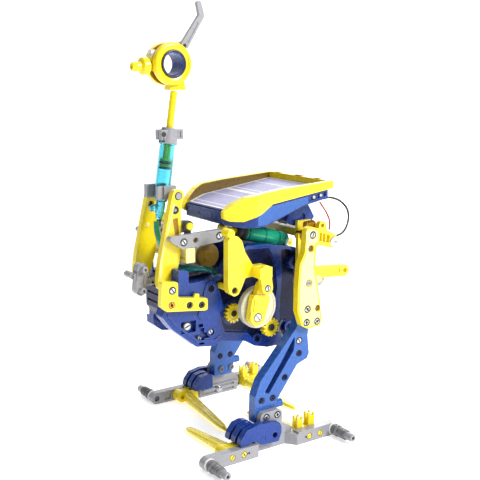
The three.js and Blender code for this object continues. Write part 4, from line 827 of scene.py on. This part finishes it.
# ------------------------------------------------------------------ pump
barrel = turned(P(0), P(43), [(0, 36.5), (4.8, 36.3), (4.8, 0.3), (6.2, 0.3), (6.2, 35.5), (6.0, 37.4), (5.2, 39.9), (3.8, 41.8), (2.4, 42.9), (0, 43.3)], 48)
emit("pump_barrel_look", barrel, "green", "chassis", ("pump_barrel",), bevel=0)
bands = merged(*[turned(P(s), P(43), [(6.15, 0), (6.42, 0.15), (6.42, 0.9), (6.15, 1.05)], 48) for s in (2.2, 17.5, 30.5)])
bands = cut(bands, rod(P(0), P(43), 6.1, 6.1, 48))
emit("pump_band", bands, "teal", "chassis", bevel=0)
emit("pump_end_glass", turned(P(36.0), P(43), [(0, -0.2), (5.3, -0.2), (6.3, 0), (6.32, 1.2), (6.12, 2.4), (5.3, 4.3), (3.9, 6.0), (2.5, 7.1), (0, 7.38)], 48), "cyan", "chassis", bevel=0)
collar_p = turned(P(-7), P(10), [(2.5, 0), (6.0, 0), (6.9, 0.7), (6.9, 3.0), (6.2, 3.3), (6.2, 4.0), (6.9, 4.3), (6.9, 6.7), (2.5, 6.7)], 44)
collar_p = cut(collar_p, rod(P(-12), P(5), 2.45, 2.45, 32))
emit("pump_collar_look", collar_p, "dark", "chassis", ("pump_collar",), bevel=0)
pl_rod = add(rod(P(-19), P(22), 2, 2, 28, 0.2), rod(P(20), P(21.6), 4.4, 4.4, 36, 0.2), rod(P(21.4), P(23.4), 3, 3, 28), rod(P(23.2), P(25), 4.4, 4.4, 36, 0.2), rodX(P(-19)[1], P(-19)[2], 2.4, 9, 17, 28, 0.3))
emit("pump_plunger_look", pl_rod, "yellow", "plunger", ("pump_plunger",), bevel=0)
emit("pump_seal", turned(P(21.55), P(30), [(3.0, 0), (4.5, 0.1), (4.62, 0.85), (4.5, 1.6), (3.0, 1.7)], 40), "rubber", "plunger", bevel=0)

# ------------------------------------------------------------------ drive discs, levers, rockers, stays, gears
DP, ROCK, EYE = (22.4, 98.7), (6.9, 119.4), (28.0, 120.2)
disc = add(turned((0, DY, DZ), (1, DY, DZ), [(0, 44), (15.0, 44), (15.5, 44.5), (15.5, 48.4), (14.9, 49.0), (13.6, 49.0), (13.2, 48.6), (0, 48.6)], 72), rodX(DY, DZ, 3, 21, 44.5, 32), rodX(DP[0], DP[1], 2.35, 48, 54.4, 32))
pair("crank_disc", disc, "disc", "disc_{}", bevel=0)
lever_shape = hull([(22.3, 99.2, 6.4), (26.1, 112.3, 2.4), (20.8, 113, 2.4), (30.8, 111.6, 2.4)])
lever = add(prismX(lever_shape, 49.3, 54.9), prismX(hull([(25.8, 112, 5), (EYE[0], EYE[1], 4.4)]), 49.3, 54))
lever = cut(lever, merged(rodX(DP[0], DP[1], 2.5, 48, 56), rodX(EYE[0], EYE[1], 1.9, 48, 56)), merged(rodX(DP[0], DP[1], 3.5, 54.3, 56)),
            prismX(fillet([(17.0, 112.6), (20.0, 113.0), (19.0, 103.6), (16.4, 103.4)], 0.5), 54.1, 56))
pair("crank_lever", lever, "yellow", "lever_{}", bevel=0.5)
pins_pair("lever_big_pin", [(DP[0], DP[1], 54.6, dict(r=3.3, turn=2.2, depth=0.5, out=0.5))], "pin", "disc_{}")
arm_outline = [(1.1, 155.8), (4, 158.4), (9, 158.2), (12.8, 154.5), (15.4, 146.3), (22, 136.2), (22, 127.6), (15.6, 127.4), (12, 119.7), (9.6, 116.2), (6, 115.2), (1.8, 118.4), (1, 124.5)]
arm = add(prismX(fillet(arm_outline, 1.8), 43, 49), box(44, 59, 21.3, 31.9, 127.6, 135.4), prismX(hull([(EYE[0], EYE[1], 4.5), (26.6, 133, 4), (24.5, 132, 3.2)]), 55.3, 59),
          rodX(ROCK[0], ROCK[1], 2.4, 24, 44, 28))
arm = cut(arm, rodX(EYE[0], EYE[1], 1.9, 55, 60), rodX(ROCK[0], ROCK[1], 2.5, 45.5, 51), merged(rodX(ROCK[0], ROCK[1], 3.1, 48.5, 51), rodX(EYE[0], EYE[1], 2.6, 58.5, 60)), merged(box(56.6, 60, 23.0, 30.2, 134.2, 136) if False else box(50, 55, 22.6, 30.6, 134.6, 136)))
pair("rocker_arm", arm, "yellow", "rocker_{}", bevel=0.55)
pins_pair("eye_pin", [(EYE[0], EYE[1], 58.9, dict(r=2.3, turn=1.6))], "pin", "rocker_{}")
pins_pair("rocker_plug", [(ROCK[0], ROCK[1], 46.5, dict(r=2.4, turn=0.4, hollow=True))], "dark", "rocker_{}")
knob = turned((0, 3.6, 160.4), (1, 3.6, 160.4), [(0, 41.2), (3.2, 41.2), (3.2, 48.6), (3.0, 49.2), (2.2, 49.6), (0, 49.8)], 40)
pair("rocker_knob", add(knob, box(43.4, 47.6, 2.0, 5.6, 155, 159)), "yellow", "rocker_{}", replaces=False, bevel=0)
st = prismX(hull([(-20.8, 153.5, 4.7), (9, 155, 4.5), (-29.6, 156.4, 2)]), 21.4, 26)
st = holesX(st, [(-20.8, 153.5), (9, 155), (-11, 153.9, 1.8)], 21, 26, cb=0.5)
pair("stay_link", st, "grey", "chassis", bevel=0.45)
pins_pair("stay_pin", [(-20.8, 153.5, 25.8, dict(turn=2.1)), (9, 155, 25.8, dict(turn=1.9))], "pin", "chassis")
pins_pair("stay_plug", [(-11, 153.9, 24.8, dict(turn=1.1, r=1.75, hollow=True))], "olive", "chassis")
kn = turned((0, -15.2, 164.1), (1, -15.2, 164.1), [(0, 21.5), (2.6, 21.5), (2.6, 25.4), (1.9, 26.0), (0, 26.1)], 32)
pair("stay_knob", kn, "yellow", "chassis", replaces=False, bevel=0)
knr = cut(turned((0, -15.2, 164.1), (1, -15.2, 164.1), [(0, 20.4), (3.9, 20.4), (3.9, 23.6), (3.5, 24.0), (0, 24.0)], 40), rodX(-15.2, 164.1, 2.62, 22.2, 26))
pair("stay_knob_ring", add(knr, box(20.6, 22.4, -17.6, -12.8, 157.2, 161)), "dark", "chassis", replaces=False, bevel=0)
ig = gear_mesh(18, 97, 14, 7.3, 5.6, 26, 31)
ig = cut(ig, turned((0, 18, 97), (1, 18, 97), [(0, 30.3), (4.6, 30.3), (4.6, 32), (0, 32)], 40))
ig = cut(add(ig, rodX(18, 97, 3.2, 29, 31.0, 36), rodX(18, 97, 2.3, 20.5, 30)), rodX(18, 97, 1.5, 29, 32))
pair("idler_gear", ig, "yellow", "idler_{}", bevel=0.18)
pair("idler_axle", cut(rodX(18, 97, 2.4, 30.6, 31.5, 28, 0.2), rodX(18, 97, 1.3, 30.9, 32, 20)), "dark", "idler_{}", replaces=False, bevel=0)
pg = cut(add(gear_mesh(46, 83.8, 14, 7.2, 5.4, 34.4, 39.4), rodX(46, 83.8, 2.3, 20.5, 38)), rodX(46, 83.8, 1.6, 37, 41), turned((0, 46, 83.8), (1, 46, 83.8), [(3.1, 38.8), (4.5, 38.8), (4.5, 41), (3.1, 41)], 40))
pair("pinion", pg, "yellow", "pinion_{}", bevel=0.18)
pair("pinion_axle", cut(rodX(46, 83.8, 2.6, 38.9, 40.0, 28, 0.2), rodX(46, 83.8, 1.5, 39.2, 41, 20)), "dark", "pinion_{}", replaces=False, bevel=0)

# ------------------------------------------------------------------ hose and wires: smooth round tubes on the CAD routes
def catmull(pts, per=10):
    P4 = [Vector(p) for p in pts]
    P4 = [P4[0] * 2 - P4[1]] + P4 + [P4[-1] * 2 - P4[-2]]
    out = []
    for i in range(1, len(P4) - 2):
        p0, p1, p2, p3 = P4[i - 1:i + 3]
        for j in range(per):
            t = j / per
            t2, t3 = t * t, t * t * t
            out.append(0.5 * ((2 * p1) + (p2 - p0) * t + (2 * p0 - 5 * p1 + 4 * p2 - p3) * t2 + (3 * p1 - p0 - 3 * p2 + p3) * t3))
    out.append(P4[-2])
    return out


def tube_mesh(pts, r, n=20):
    path = catmull(pts)
    t0 = (path[1] - path[0]).normalized()
    u = t0.orthogonal().normalized()
    verts, m = [], len(path)
    for i, p in enumerate(path):
        t = (path[min(i + 1, m - 1)] - path[max(i - 1, 0)]).normalized()
        u = (u - t * u.dot(t)).normalized()
        w = t.cross(u)
        for j in range(n):
            a = 2 * math.pi * j / n
            verts.append(p + (u * math.cos(a) + w * math.sin(a)) * r)
    faces = [[i * n + j, i * n + (j + 1) % n, (i + 1) * n + (j + 1) % n, (i + 1) * n + j] for i in range(m - 1) for j in range(n)]
    faces += [list(range(n)), list(range((m - 1) * n, m * n))[::-1]]
    return from_faces(verts, faces)


hose = [(0, -28.1, 165.6), (0.4, -28, 158), (1.4, -26, 150), (4.5, -23.4, 141), (10, -19.4, 134.4), (18, -14.6, 132.6), (24.4, -7, 132.8), (26, 0, 131.4), (25.8, 5, 128.6), (25.7, 5.8, 127.2)]
emit("transfer_hose_look", tube_mesh(hose, 2.0), "teal", "chassis", ("transfer_hose",), bevel=0)
wb = [(33, 99.4, 175.2), (34.5, 104.5, 176), (38, 111, 173.5), (42.5, 114.5, 168), (45.5, 114, 161.5), (48, 110, 155), (49.5, 104.5, 150.8), (49.8, 98.6, 149.2)]
wr = [(41, 89, 174.6), (41.6, 90.6, 172), (43, 93.6, 167), (44.4, 95.6, 161.5), (45, 95.9, 156.5), (45.2, 94.9, 153.4)]


def wire(name, pts, r, mat, node):
    o = emit(name, tube_mesh(pts, r, 16), mat, "chassis", (node,), bevel=0)
    o.parent = None
    o.matrix_world = Matrix.Identity(4)
    del o["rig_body"]
    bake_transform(o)
    return o


wire("wire_black_look", wb, 0.75, "black", "wire_black")
wire("wire_red_look", wr, 0.6, "red", "wire_red")

# ------------------------------------------------------------------ stage, light
bm = bmesh.new()
R = 4.0
prof = [(-R, 0.0)] + [(0.9 + 0.9 * math.sin(a), 0.9 - 0.9 * math.cos(a)) for a in [math.radians(k * 6) for k in range(16)]] + [(1.8, 4.0)]
az = math.radians(55.5 + 90)
fwd = Vector((-0.8241, 0.5664, 0))
side = Vector((0.5664, 0.8241, 0))
rows = []
for s in (-R, R):
    rows.append([bm.verts.new(fwd * u + side * s + Vector((0, 0, v - 0.00005))) for u, v in prof])
for i in range(len(prof) - 1):
    bm.faces.new([rows[0][i], rows[1][i], rows[1][i + 1], rows[0][i + 1]])
bmesh.ops.recalc_face_normals(bm, faces=bm.faces)
for f in bm.faces:
    f.smooth = True
sme = bpy.data.meshes.new("studio_sweep")
bm.to_mesh(sme); bm.free()
sweep = bpy.data.objects.new("studio_sweep", sme)
scene.collection.objects.link(sweep)
smat = bpy.data.materials.new("studio_paper")
sn, sl = nt(smat)
sb = sn["Principled BSDF"]
sb.inputs["Roughness"].default_value = 0.9
sb.inputs["Specular IOR Level"].default_value = 0.1
stc = sn.new("ShaderNodeTexCoord"); sns = sn.new("ShaderNodeTexNoise"); sns.inputs["Scale"].default_value = 3
srp = sn.new("ShaderNodeValToRGB")
srp.color_ramp.elements[0].color = (0.91, 0.91, 0.92, 1); srp.color_ramp.elements[1].color = (0.95, 0.95, 0.955, 1)
sl.new(stc.outputs["Object"], sns.inputs["Vector"]); sl.new(sns.outputs["Fac"], srp.inputs["Fac"]); sl.new(srp.outputs["Color"], sb.inputs["Base Color"])
sb.inputs["Emission Color"].default_value = (1, 1, 1, 1)
sb.inputs["Emission Strength"].default_value = 0.42
sme.materials.append(smat)


def area(name, loc, target, size, power, color=(1, 1, 1)):
    ld = bpy.data.lights.new(name, "AREA")
    ld.shape = "DISK"; ld.size = size; ld.energy = power; ld.color = color
    o = bpy.data.objects.new(name, ld)
    o.location = loc
    o.rotation_euler = (Vector(target) - Vector(loc)).to_track_quat("-Z", "Y").to_euler()
    scene.collection.objects.link(o)
    return o


C = (0, 0, 0.15)
area("key", (1.15, 0.5, 0.95), C, 0.5, 17)
area("fill", (0.9, -1.2, 0.7), C, 0.9, 0.5)
area("rim", (-0.9, 0.9, 0.9), C, 0.8, 5)
area("topl", (0.0, 0.0, 1.5), C, 0.9, 6)
w = bpy.data.worlds.new("studio_world")
scene.world = w
w.use_nodes = True
w.node_tree.nodes["Background"].inputs["Color"].default_value = (1, 1, 1, 1)
w.node_tree.nodes["Background"].inputs["Strength"].default_value = 0.2
scene.view_settings.view_transform = "Standard"
scene.view_settings.look = "Medium High Contrast"
scene.view_settings.exposure = 0.0

bpy.context.view_layer.update()
